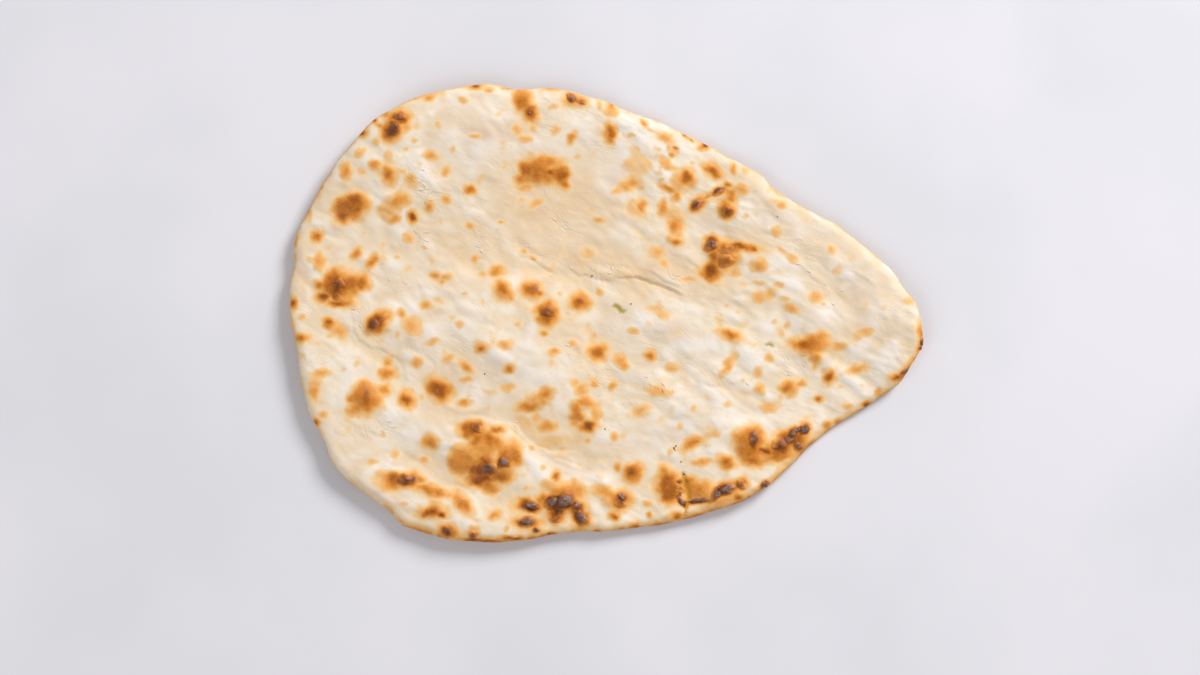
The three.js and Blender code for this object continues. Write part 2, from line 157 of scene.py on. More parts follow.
# Creases where a flap of skin ends: how much higher the left side of the path stands,
# depth of the groove, path
CREASES = [
    (0.65, 0.45, [(-45.5, 29.5), (-38, 27.5), (-30.5, 22.5), (-23, 19.5)]),
    (0.75, 0.5, [(-20, 22.5), (-14.5, 19.5), (-8, 18.5), (-3, 17), (5, 14.5)]),
    (0.35, 0.2, [(-5.5, 24.5), (3, 23.8), (12, 23.8)]),
    (1.05, 0.75, [(2, 20.5), (5, 18), (17, 17.5), (27, 14), (34.5, 10.5), (43, 8.5)]),
    (0.6, 0.4, [(18.5, 22.5), (24.5, 19), (31, 15), (42, 10.5)]),
    (0.35, 0.25, [(38.5, 27.8), (43, 24.8), (48, 21)]),
    (0.35, 0.2, [(-88, 14.5), (-83, 11.5), (-75, 8)]),
    (0.4, 0.2, [(-28, -20.5), (-22, -24.2), (-18.5, -27.5)]),
    (0.4, 0.2, [(-23, -12.5), (-15.5, -18), (-8, -25.5), (-4, -30.5), (-0.5, -36)]),
    (-0.7, 0.5, [(-46.5, -50.5), (-43, -59), (-38, -64), (-30.5, -68), (-22, -69), (-12, -68.5)]),
    (-0.45, 0.4, [(-26, -71.5), (-19, -74.2), (-11, -76.8)]),
    (-0.5, 0.2, [(-76, -52.5), (-66, -51), (-54, -54.5), (-46, -60), (-41, -64)]),
    (0.4, 0.45, [(48, -34.8), (54, -36.2), (58.5, -36.6)]),
    (0.3, 0.2, [(87, -22), (90, -29), (95, -32)]),
    (0.3, 0.2, [(95, -20.5), (100, -26.5), (105, -34)]),
    (0.45, 0.2, [(86, 29.5), (97, 23), (103.5, 17.5), (112, 10)]),
    (0.35, 0.15, [(119, 22), (128, 18), (136, 11)]),
    (0.3, 0.15, [(112, 3.5), (120, -5)]),
    (0.6, 0.2, [(-127, 6), (-126.5, -3), (-124.5, -10.5), (-119, -16.5), (-110.5, -19), (-103, -24),
                (-100, -32), (-94, -37)]),
    (0.35, 0.2, [(-106, 15), (-100.5, 12.5), (-90, 12.5), (-82, 10)]),
    (0.35, 0.2, [(-102, -17.5), (-93, -19), (-87, -23), (-85, -30)]),
    (0.35, 0.2, [(-131, -52), (-123, -57), (-116, -59.5), (-113, -64)]),
    (0.35, 0.25, [(-118, -56.5), (-115.5, -61), (-108.5, -61.5)]),
    (0.35, 0.15, [(-84, -45), (-75.5, -49), (-67, -52)]),
    (0.4, 0.2, [(-94, 68.5), (-87, 62.5), (-82, 56)]),
    (0.3, 0.2, [(-106, 79.5), (-103, 76.5), (-97, 77.5)]),
    (0.35, 0.15, [(-79, 68), (-74, 61), (-72, 52)]),
    (0.35, 0.15, [(-68, -2.5), (-56, -6), (-44, -10)]),
    (0.3, 0.15, [(12, -30), (22, -36), (30, -43)]),
    (0.3, 0.15, [(60, 8), (70, 2), (78, -6)]),
]
CREASE_WANDER = [(5, 0.8, 51), (1.9, 0.35, 53)]
CREASE_STEPS = 6  # for each point of a path
CREASE_END = 0.25  # the share of its length over which a crease dies out
CREASE_EDGE = 0.5  # how sharply a flap ends
GROOVE_WIDTH = 0.8
FLAP_REACH = 4.5  # how far back from its end a flap slopes down again
FLAP_BOX = 4  # nothing of a flap is left past this many times its reach

# Patches where the skin is dry and flaky: x, y, half length, half width, turn, strength
FLAKY_SKIN = [
    (-92, 64, 16, 9, -40, 1.0), (-58, 40, 12, 8, -60, 0.8), (-92, 38, 12, 7, -20, 0.7),
    (-30, 27, 22, 5, -20, 0.8), (6, 20, 16, 7, -5, 1.0), (35, 15, 14, 6, -25, 0.9),
    (-5, -34, 10, 9, -40, 1.0), (-18, -20, 12, 6, -45, 0.8), (24, -34, 16, 7, -35, 0.6),
    (-105, 14, 10, 6, 0, 0.6), (-124, -2, 6, 12, 10, 0.6), (-112, -58, 12, 7, -20, 0.8),
    (92, -26, 12, 8, -45, 0.7), (104, 18, 20, 5, -38, 0.6), (60, -34, 12, 7, -20, 0.6),
    (-40, -64, 14, 5, -40, 0.6), (-70, 4, 12, 6, -25, 0.5), (-24, 44, 20, 9, -10, 0.4),
]
FLAKY_WANDER = [(7, 3, 97)]
# Here and below, a fade says where in its oval a patch starts to fade, and over how much of it.
FLAKY_FADE = (0.3, 0.9)

# Places where the skin has torn open: x, y, half length, half width, turn, strength
TEARS = [
    (6.5, 2.5, 3.4, 1.3, -35, 1),
    (82, -15.5, 2.4, 1.0, -10, 1),
]
TEAR_WANDER = [(1.6, 0.5, 61)]
TEAR_FADE = (0.7, 0.6)
TEAR_DEPTH = 0.5

# A dry crack from the char on the near side out to the edge: x, y, half width
EDGE_CRACK = [
    (39, -80, 1.0), (39.5, -83.5, 1.5), (40.7, -88.5, 1.2), (41.2, -93.5, 1.2), (40, -97.5, 0.6),
    (38.5, -102.5, 0.5),
]
CRACK_WANDER = [(2, 0.5, 63)]
CRACK_STEPS = 16
CRACK_DEPTH = 0.8

# ---- browning ---------------------------------------------------------------------------
# x, y, half length, half width, turn in degrees, how brown: 0.3 pale gold, 0.6 orange,
# 0.85 brown, 1 dark brown, above that charred.
FAR_BROAD_CORNER = [
    (-102.5, 97.5, 5, 3.6, -10, 0.93), (-106.5, 89.5, 4.8, 4, 30, 0.95), (-105, 93.5, 4, 4.4, 30, 0.94),
    (-109, 99, 2.6, 2.4, 0, 0.62), (-99.5, 93, 2.6, 4, -20, 0.52), (-115.5, 95.5, 2.2, 1.5, -40, 1.02),
    (-112, 93, 2.3, 1.3, -10, 0.74), (-121, 89.5, 2.4, 2.2, 0, 1.08), (-114.5, 85, 2.4, 2.2, 0, 0.43),
    (-122.5, 80, 3.2, 3, 0, 0.42), (-129.5, 70.5, 2.9, 4.2, 0, 0.62), (-121.5, 70.5, 2.2, 1.6, 0, 0.46),
    (-114.5, 73.5, 3, 2.5, -20, 0.62), (-108, 69, 3.4, 4.8, 10, 0.74), (-108.5, 78, 2.6, 4, 0, 0.4),
    (-111, 70, 7, 5, -30, 0.24), (-101.5, 70.5, 3.4, 1.2, -20, 0.46), (-97.5, 66.5, 2.9, 3.2, -30, 0.52),
    (-99.5, 81.5, 1.7, 1.6, 0, 0.36), (-94.5, 93, 2, 2.4, 0, 0.3), (-95, 85.5, 2, 1.2, 0, 0.42),
    (-83, 93.5, 1.8, 2.6, 20, 0.38), (-87.5, 107.5, 2.9, 1.9, 20, 0.7), (-71, 106, 2.6, 1.8, 0, 0.54),
    (-65, 113.2, 3.6, 1.6, 0, 1.08), (-58, 111.2, 2.4, 1.3, 0, 0.66), (-65.5, 88.2, 3.2, 1.4, -5, 0.5),
    (-87, 78.5, 3.8, 2.4, -10, 0.58), (-76.5, 81.5, 2, 2, 0, 0.36), (-80, 70.5, 2.2, 3, -15, 0.54),
    (-68, 62, 2.9, 2.3, -15, 0.82), (-79.5, 57, 2.2, 2.6, 30, 0.62), (-88, 53.5, 2.4, 3, -10, 0.62),
    (-96.5, 48, 2.3, 3, 0, 0.95), (-126.5, 53.5, 9.4, 7.1, 22, 0.76), (-131, 48.5, 4.5, 3.4, 15, 0.86),
    (-125.5, 60, 5, 3, 0, 0.3), (-103.6, 56, 6.6, 4.4, 20, 0.56), (-104, 56.5, 2.2, 1.6, 20, 0.66),
    (-108.6, 50.8, 7, 5, 10, 0.38), (-105.5, 47, 3.4, 1.8, 20, 0.62), (-144, 38.5, 3, 3.2, 0, 0.88),
    (-148, 50, 1.6, 4, 0, 0.52), (-141.5, 63, 1, 2.2, -20, 0.62), (-98.5, 37.5, 3.4, 3, -15, 0.46),
    (-121, 40, 2.2, 1.6, 0, 0.3), (-68, 43.5, 2.4, 2, 0, 0.56), (-90.5, 33, 2, 1.1, -20, 0.48),
    (-82.5, 46.5, 1.8, 2.4, 0, 0.27), (-52, 45.5, 2, 1.1, 0, 0.56),
]
FAR_SIDE = [
    (-41, 106, 4.6, 6.2, 10, 0.68), (-38, 100, 3.6, 4.6, 20, 0.9), (-44.2, 91.8, 3, 3, 0, 0.46),
    (-36, 92.2, 1.8, 3.4, 0, 0.4), (-25.5, 91.5, 2.4, 3.2, 0, 0.44), (-40.2, 87, 4, 2.2, -10, 0.5),
    (-17, 107, 3.4, 2.4, -25, 1.02), (-12.5, 105.5, 3.4, 1.7, -20, 0.96),
    (-15.5, 106.2, 6.4, 3, -10, 0.58), (-26.5, 102.8, 3.4, 1.8, 15, 0.42), (-3, 104.5, 1.6, 3, 0, 0.48),
    (2.5, 103.5, 2.2, 3.4, 0, 0.66), (2.5, 101, 3.6, 3, 0, 0.5), (11, 101, 2, 2, 0, 0.34),
    (2, 90, 2.9, 4.8, 0, 0.8), (-17, 87.5, 3.2, 2, 60, 0.68), (-14, 78.2, 2.6, 1.5, 20, 0.35),
    (12.5, 88.7, 3, 1.6, 0, 0.36), (-33, 71, 9.6, 6.6, -6, 0.7), (-40.5, 71.5, 3.2, 5, 0, 0.8),
    (-31, 76, 8.5, 2.8, -4, 0.66), (-27.5, 70.6, 3.4, 2.6, -30, 0.88), (-42.6, 67, 3, 2.8, 0, 0.74),
    (-20.6, 64.8, 2.6, 3.2, 20, 0.8), (-23, 69.5, 4.4, 5.6, 20, 0.8), (-31, 66, 9, 3, 0, 0.28),
    (-40.5, 63, 4, 2.6, 0, 0.5), (-35.5, 54.8, 5, 2, 25, 0.46), (-3.5, 47.2, 3.4, 2, -5, 0.54),
    (-7, 52.2, 2.4, 1.2, 0, 0.3), (-9.5, 30.7, 5.4, 3.2, -10, 0.38), (15.5, 74.2, 9, 9, 0, 0.27),
    (11, 74.5, 3, 3.6, 0, 0.38), (19.5, 74.5, 4.2, 3.8, 0, 0.33), (14.5, 82, 3.4, 3, 0, 0.3),
    (12, 64.8, 5.4, 3.2, 10, 0.54), (6, 61.2, 3.8, 1.9, 25, 0.48), (18, 63.2, 1.6, 1.6, 0, 0.42),
    (16, 52.8, 7, 6.6, 0, 0.35), (18, 53.8, 2.2, 3.3, 0, 0.68), (29, 52.8, 2.9, 4.2, 0, 0.62),
    (33, 50, 5, 5.5, 0, 0.38), (34.5, 43.8, 3.5, 4.8, 0, 0.68), (35, 36.2, 3.1, 2.1, 0, 0.76),
    (31.5, 37, 1.8, 2.4, 0, 0.52), (35, 58.8, 3, 3.1, 0, 0.6), (31, 62.4, 4.8, 1.7, -25, 0.72),
    (40.5, 67.8, 4, 4.4, 0, 0.82), (37, 65.8, 5.2, 5.8, 0, 0.45), (31.5, 74.2, 6.2, 2.3, -38, 0.5),
    (27.5, 66.8, 1.6, 1.6, 0, 0.38), (28, 70.2, 1, 1.2, 0, 0.3), (34.5, 82.8, 1.9, 0.9, -10, 0.98),
    (33, 79.2, 1.8, 1.4, 0, 0.68), (34.5, 80.8, 3.8, 3.6, 0, 0.34), (26.5, 81.8, 1.6, 1.6, 0, 0.3),
    (19, 95.2, 2.3, 1.4, -50, 0.72), (22.5, 91.8, 4.2, 1.3, -40, 0.3), (29.5, 88.2, 4.6, 2.7, -20, 0.52),
    (31, 83.2, 1.5, 3, 0, 0.44), (39.6, 89, 2.3, 0.9, -40, 1.1), (42.6, 87, 1.9, 0.9, -40, 1.06),
    (49.4, 83.7, 2.1, 1.7, -40, 1.14), (48.5, 83.2, 2.6, 2.1, 0, 0.68), (53.5, 71.2, 5.2, 2.9, -32, 0.81),
    (63.5, 72.2, 1.8, 2.9, 15, 0.64), (69.5, 71.2, 2.6, 2.6, 0, 0.4), (45.5, 54.2, 3.4, 2.4, 40, 0.84),
    (50.5, 58.2, 3.2, 1.1, 25, 0.7), (56.5, 60.8, 4.6, 2.1, 18, 1.04), (61, 64.2, 2.1, 2, 0, 0.79),
    (62.5, 58.2, 2.7, 4, 0, 0.74), (60, 52.2, 4.3, 4.7, 0, 0.7), (67.5, 61.8, 4, 3.8, 0, 0.48),
    (43, 75.2, 1.6, 1.1, 0, 0.33), (70, 48.8, 2.2, 2, 0, 0.3), (87.5, 54.2, 3, 1.9, -20, 0.55),
    (84, 56.2, 3, 2, -20, 0.3), (85, 41, 2.9, 3.6, 15, 0.42), (-49, 112.5, 4, 1, -5, 0.7),
    (-26.5, 112, 6, 1, 0, 0.56),
]
BROAD_END = [
    (-143, 25.8, 3, 4.8, 0, 0.55), (-147, 26.8, 3.4, 2.4, 0, 0.34), (-133, 14, 9.6, 8.6, 0, 0.78),
    (-133.5, 12.8, 5, 7.6, 0, 0.82), (-122.5, 15.2, 4.4, 3.6, 0, 0.82), (-120, 17, 2, 2, 0, 0.52),
    (-142.5, 14.2, 2.8, 2.8, 0, 0.74), (-141, 8.2, 3.6, 2.3, 0, 1.08), (-133, 5.2, 6.6, 2.2, 0, 0.86),
    (-124.5, 29.8, 3.6, 2.2, 55, 0.68), (-116.5, 26.2, 4.1, 2.4, 50, 0.78),
    (-104.5, 28.2, 2, 1.4, 0, 0.36), (-111.5, 34.5, 2, 2, 0, 0.28), (-85, 19.2, 2.9, 2.1, 0, 0.64),
    (-79.5, 18.2, 3.3, 1.8, 10, 0.54), (-81.5, 15.8, 2, 1.4, 0, 0.56), (-65.5, 27.2, 2.1, 2.5, 0, 0.54),
    (-54.5, 21.2, 3.4, 2.7, 10, 0.66), (-62, 19.8, 2.7, 1.9, 0, 0.48), (-156, 5.2, 2.3, 3.1, 0, 1.0),
    (-151.5, -1.8, 2.2, 2, 0, 0.46), (-138.5, -4.8, 3.3, 2.9, -20, 0.92),
    (-133.5, -9.2, 5.2, 2.9, -35, 0.52), (-137, -11, 3, 2, 0, 0.35), (-151, -12.2, 3.7, 2.3, 10, 0.78),
    (-114, -4.8, 7, 4.6, 42, 0.94), (-115.5, -6, 3, 2.4, 42, 1.0), (-102, 0.2, 2.5, 2.5, 0, 0.58),
    (-97.5, -6.2, 6.8, 4.5, -42, 0.45), (-104, -10.8, 2.1, 2.9, 0, 0.37), (-89.5, 3.8, 3.1, 2, 0, 0.6),
    (-83.5, 6.8, 4, 1.7, -25, 0.34), (-86.5, -14.2, 3.7, 1.9, 20, 0.46), (-76.5, -1.5, 2.6, 1.5, 0, 0.27),
    (-73, -5.2, 2.1, 2.5, 0, 0.42), (-69.5, 10.2, 1.7, 1.7, 0, 0.28), (-61.5, 5.8, 1.8, 1.8, 0, 0.28),
    (-62.5, -16.8, 3.6, 3.1, 0, 0.56), (-62, -17.2, 1.9, 1.6, 0, 0.94), (-78.5, -22.2, 3.8, 2, 40, 0.52),
    (-94.5, -24.8, 2.7, 2.9, 0, 0.54), (-70, -26.8, 4.1, 2.1, -50, 0.66), (-70, -33.2, 3.7, 1.6, 0, 0.5),
    (-109, -24.8, 2.1, 3.3, 0, 0.6), (-109, -30.5, 4.3, 2.7, 0, 0.75), (-142, -30.2, 5.8, 2.7, 10, 0.5),
    (-145.5, -39.2, 2.5, 4.5, 10, 0.56), (-144.5, -34.8, 2.8, 3.4, 0, 0.48),
    (-124.5, -25.2, 2, 2, 0, 0.33), (-130.5, -27.8, 2, 1.6, 0, 0.28), (-151.5, -20.8, 2, 2.4, 0, 0.27),
]
MIDDLE = [
    (-51.5, 11.2, 5.3, 3.9, -30, 0.76), (-47.5, 7.8, 2, 1.8, 0, 0.6), (-37, 11.8, 5, 4.1, -30, 0.86),
    (-33.5, 9.8, 2.4, 2, 0, 0.86), (-29.5, -0.2, 5.4, 6.4, 0, 0.84), (-29, 0.8, 2.6, 3, 0, 0.86),
    (-31, -9.8, 2.1, 1.7, 0, 0.7), (-13, 5.8, 4.7, 4.1, 0, 0.82), (-3, 11.2, 2.1, 2.5, 0, 0.52),
    (-36.5, 28.2, 2.9, 1.2, -15, 0.5), (-41, 30.8, 2, 1.5, 0, 0.55), (-44, -5.2, 2.1, 1.7, 0, 0.44),
    (-15.5, 16.2, 2, 1.5, 0, 0.27), (-23, 10.2, 1.8, 1.8, 0, 0.34), (-19, -0.2, 1.6, 1.5, 0, 0.28),
    (25.5, 30.2, 4.2, 3.4, 0, 0.48), (29, 24.8, 3.5, 1.9, -40, 0.48), (41.5, 17.2, 4.2, 1.7, 0, 0.46),
    (26, 1.8, 8, 3, -20, 0.35), (28.5, -0.2, 4, 2.4, -20, 0.42), (13.5, -8.8, 3.3, 2, 0, 0.44),
    (-4, -18.8, 5.1, 4.3, 0, 0.76), (-1.5, -23.2, 2.4, 1.8, 0, 0.5), (-25.5, -18.8, 2.9, 1.9, 0, 0.64),
    (-16.5, -14.8, 2.9, 1.7, 0, 0.44), (-6, -10.8, 1.7, 2.3, 0, 0.42), (-50, -15.8, 4.1, 2.5, 0, 0.5),
    (-48, -27.8, 2.7, 2.3, 0, 0.84), (7.5, -23.8, 3.6, 3.5, -45, 0.56), (9, -26.2, 2.6, 2.1, 0, 0.62),
    (22, -20.8, 3, 2.8, 0, 0.77), (32.5, -27.2, 3.8, 2.9, 20, 0.44), (3, -36.2, 2.9, 2, 60, 0.54),
    (-6, -35.2, 2.6, 2.1, 0, 0.54), (-12, -38.8, 3.4, 4.6, 0, 0.5), (-49, -36.8, 4.7, 2.3, 0, 0.46),
    (26.5, -38.8, 7.5, 3.1, -12, 0.46), (-15.8, -34.6, 3, 2.6, -40, 0.42), (-37, -67.2, 2, 1.2, -30, 0.5),
]
TIP_END = [
    (52.5, 34.8, 3.5, 3.9, 0, 0.98), (58, 28.2, 6.2, 5.2, 0, 0.6), (63, 33.2, 4, 2.8, 0, 0.86),
    (53, 21.2, 5.3, 4.5, 0, 0.92), (67, 33.2, 9, 2.4, -6, 0.84), (73.5, 31.8, 3.2, 2, -15, 0.86),
    (64.5, 20.8, 3.5, 2.8, -30, 0.46), (59, 24.8, 3.3, 2.3, 0, 0.8), (54, 28, 3.2, 5, 0, 0.84),
    (76, 24.2, 4.7, 3.7, 0, 0.54), (76.5, 15.2, 3.9, 1.6, 0, 0.4), (86, 14.2, 2.8, 1.9, 0, 0.42),
    (76.5, 7.8, 4.1, 3.1, 20, 0.48), (81.5, 9.8, 4.1, 2.7, 20, 0.44), (89.5, 7.2, 3.5, 1.9, -15, 0.4),
    (105, 8.2, 3.9, 3.1, 15, 0.52), (108.5, 4.8, 2, 1.4, -40, 0.36), (93, 2.2, 4.2, 2.3, -20, 0.52),
    (90.5, -6.2, 2.1, 2.1, 45, 0.44), (88, -9.8, 1.7, 2.7, 20, 0.38), (84, -4.2, 2, 1.9, 0, 0.35),
    (62.5, -10.8, 5.1, 2.5, -15, 0.8), (57, -9, 4.2, 1.9, -10, 0.42), (93, 27.8, 3.4, 2.4, -45, 0.46),
    (88, 31.5, 6, 1.4, -38, 0.34), (112.5, 31.8, 2.5, 2.3, 0, 0.5), (129, -9.2, 5.5, 2.2, 8, 0.43),
    (125.5, -11.5, 3, 2.4, 0, 0.38), (102.4, -15.4, 9, 3.9, 0, 0.7), (98.4, -15.4, 5.6, 2.8, 0, 0.84),
    (107, -12.2, 5.2, 2.7, 15, 0.58), (116, -16.2, 5.5, 2.7, 5, 0.48), (104.5, -21.8, 2.9, 4.2, 10, 0.6),
    (104.5, -26.5, 1.7, 2.5, 0, 0.52), (111.5, -31.8, 3.6, 3.6, 0, 0.87),
    (125.5, -27.8, 5.2, 2.7, 12, 0.55), (61, -26.2, 6.6, 2.3, 55, 0.52),
    (81.5, -22.2, 2.3, 3.1, -15, 0.46), (76, -29.8, 2.3, 3.1, 0, 0.42), (77, -37.8, 3.3, 3.5, 0, 0.5),
    (91, -36.8, 3.9, 3.7, 0, 0.7), (97, -34.8, 3.3, 2.1, 10, 0.6), (92, -41, 2.6, 2, 0, 0.52),
    (106.5, -42.8, 2, 1.8, 0, 0.92), (81.5, -46.8, 4.5, 3.1, 0, 0.48), (61, -45.2, 3.1, 2.3, 0, 0.3),
    (150.5, 6.2, 3, 1.8, 0, 0.46), (157.3, -14.6, 1.5, 3.6, 0, 1.05), (156.8, -9, 1.8, 4.6, 0, 0.72),
    (148.8, -29.3, 4.7, 2.3, 43, 1.1), (145, -32, 3.1, 2.1, 20, 1.0), (60.5, 4.2, 2.1, 1.6, 0, 0.28),
    (66, 0.8, 2.1, 1.2, 0, 0.3), (117, -36.8, 3, 1.5, 0, 0.27), (128, -35.8, 1.7, 1.5, 0, 0.25),
]
NEAR_BROAD_CORNER = [
    (-120, -42.2, 8, 8.6, 0, 0.68), (-119.5, -42.2, 4, 5.4, 0, 0.92), (-125.5, -48.2, 4, 3.4, 0, 0.62),
    (-110.5, -38.2, 3.9, 2.9, -15, 0.64), (-99.5, -42.8, 3.8, 4.4, 20, 0.88),
    (-83.5, -37.8, 7, 5.4, -45, 0.84), (-92, -41.8, 1.7, 2.1, 0, 0.35), (-144.5, -54.2, 2.1, 2.1, 0, 0.86),
    (-141, -49.8, 2.7, 2.1, 20, 0.5), (-71, -44.8, 3.1, 1.8, 0, 0.7), (-88, -64.2, 4.1, 4.1, 0, 0.66),
    (-88, -64.8, 1.8, 1.8, 0, 0.8), (-91, -73.2, 2.9, 2, 20, 0.5), (-105, -70.2, 3.1, 2.3, 0, 0.42),
    (-116.5, -73.8, 3, 1.7, 0, 0.42), (-59, -47.2, 1.6, 2, 0, 0.3), (-67.5, -57.9, 6, 4.2, 0, 0.8),
    (-64.5, -56.8, 3.6, 2.7, -20, 1.0), (-54.5, -57.8, 3.9, 2, 10, 0.86), (-57, -63.2, 9, 5, -35, 0.68),
    (-64.4, -62.6, 4.2, 4.4, 0, 0.8), (-53, -81, 6.4, 4.2, 15, 0.8), (-58.5, -61.2, 4.2, 2.6, -40, 0.64),
    (-48, -70.8, 6.4, 7.1, 0, 0.72), (-71.5, -73.2, 7.6, 8.1, 0, 0.62), (-62, -68, 9, 8, 0, 0.54),
    (-62, -77.2, 7.6, 6.6, 0, 0.89), (-62, -83.8, 8.1, 3.5, 0, 0.9), (-58, -86.8, 4.1, 3.1, 0, 0.7),
    (-58.5, -76.2, 4.6, 3.8, 0, 0.76), (-51, -74.2, 2.9, 3.3, 0, 0.84), (-99.5, -82.2, 5.1, 3.6, 0, 1.02),
    (-103, -83.2, 10, 4.3, 0, 0.76), (-110.5, -83.2, 5.2, 6, 0, 0.44), (-93, -82.8, 3.1, 1.9, -10, 0.76),
    (-89, -87.8, 8.2, 2.7, -14, 0.68), (-83, -89.8, 3.6, 2.5, 0, 0.74), (-78, -90.8, 4.2, 2.1, 0, 0.5),
    (-71.5, -94.8, 6.3, 3, -45, 0.74), (-86, -99.2, 6.6, 3.1, 0, 0.9), (-89.5, -99.8, 3, 2.3, 0, 1.0),
    (-82, -99.8, 2.8, 2.5, 0, 1.02), (-85, -94.8, 4.1, 2.6, 0, 0.44), (-78.4, -108.8, 4.9, 3.2, -25, 0.97),
    (-66.5, -110.2, 2.3, 2.3, 0, 0.92), (-66, -106.8, 2.7, 1.7, 0, 0.52),
    (-55.5, -100.8, 3.3, 2.5, 30, 0.62), (-49.5, -107.2, 1.7, 2.3, 0, 0.44),
    (-64, -103.2, 2.5, 1.1, 0, 0.27), (-101, -94.8, 3, 1.6, -20, 0.32), (-59, -113.5, 9, 1, 0, 0.95),
]
NEAR_SIDE = [
    (-30.5, -40.8, 5.4, 5, 0, 0.54), (-29.5, -40.2, 3, 2.4, 30, 0.66), (-38, -46.2, 6.6, 2.7, 10, 0.66),
    (-36, -42.8, 6, 3, 30, 0.52), (-35.5, -52.2, 2.5, 4.1, 0, 0.44), (-29.5, -56.8, 5.1, 3.6, 0, 0.56),
    (-9.2, -56.2, 4.8, 3.4, 0, 0.98), (-15, -50.4, 3.1, 5.8, 0, 0.7), (-5, -50, 2.7, 5.4, 0, 0.52),
    (-9, -56.8, 2.4, 2, 0, 1.08), (-10.2, -44.8, 5.6, 2.7, 0, 0.66), (-9, -63.8, 1.8, 2.1, 0, 0.46),
    (4, -61.8, 1.7, 2.3, 20, 0.54), (17, -48.8, 4.7, 2.8, 0, 0.5), (-31.5, -76.8, 1.9, 1.7, 0, 0.42),
    (-25, -81.2, 2.7, 2.6, 0, 0.82), (-40, -87.2, 2.1, 2.1, 0, 0.36), (-19, -89.2, 9, 5, 0, 0.66),
    (-25, -85.8, 10, 3.5, 10, 0.42), (-38, -95.8, 6.9, 3.1, 0, 0.97), (-38, -95.2, 3.2, 1.5, -5, 1.2),
    (-22, -93.8, 6.6, 4.5, 0, 1.1), (-28, -94.2, 2.7, 2.9, 0, 1.16), (-25, -99.2, 5.1, 4.9, 0, 0.93),
    (-31.8, -92.4, 3.6, 3, 0, 0.78), (-14.5, -97.2, 5.1, 4.1, -30, 0.86),
    (-12.2, -102.2, 3.6, 4.4, 0, 1.06), (-39.5, -104.2, 5.5, 2.5, -5, 1.12),
    (-34.5, -107.8, 2, 1.7, -30, 1.16), (0.5, -89.8, 8, 3.6, -15, 0.58), (6.5, -93.2, 6.1, 4.3, -10, 0.81),
    (8.5, -91.5, 3, 1.7, -30, 0.97), (5, -98.2, 4.5, 4.1, 0, 0.44), (4, -101.2, 2.8, 2.2, -15, 0.94),
    (21, -94.8, 3.3, 2, -20, 0.46), (22, -100.8, 1.9, 2.1, 0, 0.66), (14.5, -106.2, 2.9, 2, 0, 0.76),
    (13.5, -79.2, 5.1, 4.1, 30, 0.82), (13, -80.8, 6.5, 6, 0, 0.4), (6, -76.8, 2.1, 2.9, 0, 0.62),
    (44, -47.2, 1.9, 2.5, 0, 0.33), (53.5, -59.8, 4.7, 2.3, 10, 0.42), (43, -64.8, 6.7, 2.5, 22, 0.62),
    (45, -64.2, 2.4, 1.2, 22, 0.84), (32, -69.2, 2.1, 2.3, 0, 0.38), (47.5, -74.2, 5.1, 2.2, 0, 0.56),
    (60, -74.2, 4.5, 3, -15, 0.84), (37, -56.8, 2.1, 2.1, 0, 0.4), (31, -86.8, 6.3, 8.9, 0, 0.82),
    (29.5, -78.2, 3.3, 3.5, 0, 0.64), (45.5, -88.2, 7.5, 5.1, 0, 0.62), (41.6, -84.4, 4.4, 3.4, 0, 0.7),
    (58, -87.8, 6.1, 2.3, 8, 1.13), (47, -92.8, 6.5, 1.3, 10, 1.12), (67, -85.2, 3.5, 2.4, 0, 0.9),
    (66, -91.8, 3.7, 2.5, 0, 0.92), (57, -93.8, 10, 2.9, 8, 0.5), (38.5, -94.8, 2.9, 1.6, -40, 1.16),
    (37, -84.2, 2.4, 1.4, -30, 1.14), (36, -90.8, 2.1, 1.6, -20, 1.0), (35, -101.2, 3.3, 1.9, 5, 0.92),
    (-48, -112.2, 5, 1.3, 0, 0.95), (-44.5, -112.2, 4, 1.1, 3, 1.22), (-28.5, -109.8, 2, 1, 0, 1.12),
    (-28, -110.2, 4, 1.2, 0, 0.9), (-4, -108.6, 2.4, 0.9, 0, 1.02), (15.5, -106.4, 2, 0.9, 0, 1.05),
    (-66, -112.6, 7, 0.9, 0, 1.0),
]
NEAR_TIP_SIDE = [
    (72, -65.2, 8.4, 9.6, 0, 0.68), (73.5, -64.2, 3.4, 6.2, 0, 0.92), (90.5, -64.8, 11.8, 5.8, 25, 0.84),
    (95.5, -60.2, 6.1, 2.2, 28, 0.5), (100, -57.8, 2.4, 2.3, 0, 1.22), (97, -67.2, 4.1, 2.3, 25, 0.93),
    (86, -71.2, 9, 2.7, 5, 0.72), (73, -73.2, 6.1, 3.3, 0, 0.74), (79, -69, 5, 2.4, 0, 1.02),
    (111, -55.8, 2.3, 2.3, 0, 0.7), (116, -54.2, 2.1, 1.3, 20, 0.76), (78.5, -85.8, 2.9, 1.9, 20, 0.96),
    (79.5, -85.8, 1.3, 1.3, 0, 1.22), (130, -45.2, 2.7, 1.9, 20, 1.14), (121, -46.2, 2.7, 1.7, 0, 0.52),
    (122, -49.8, 3.1, 2.5, 45, 0.3), (136, -39.2, 2.1, 1.7, 45, 0.62),
]
TOASTED_SPOTS = (
    FAR_BROAD_CORNER + FAR_SIDE + BROAD_END + MIDDLE + TIP_END
    + NEAR_BROAD_CORNER + NEAR_SIDE + NEAR_TIP_SIDE
)

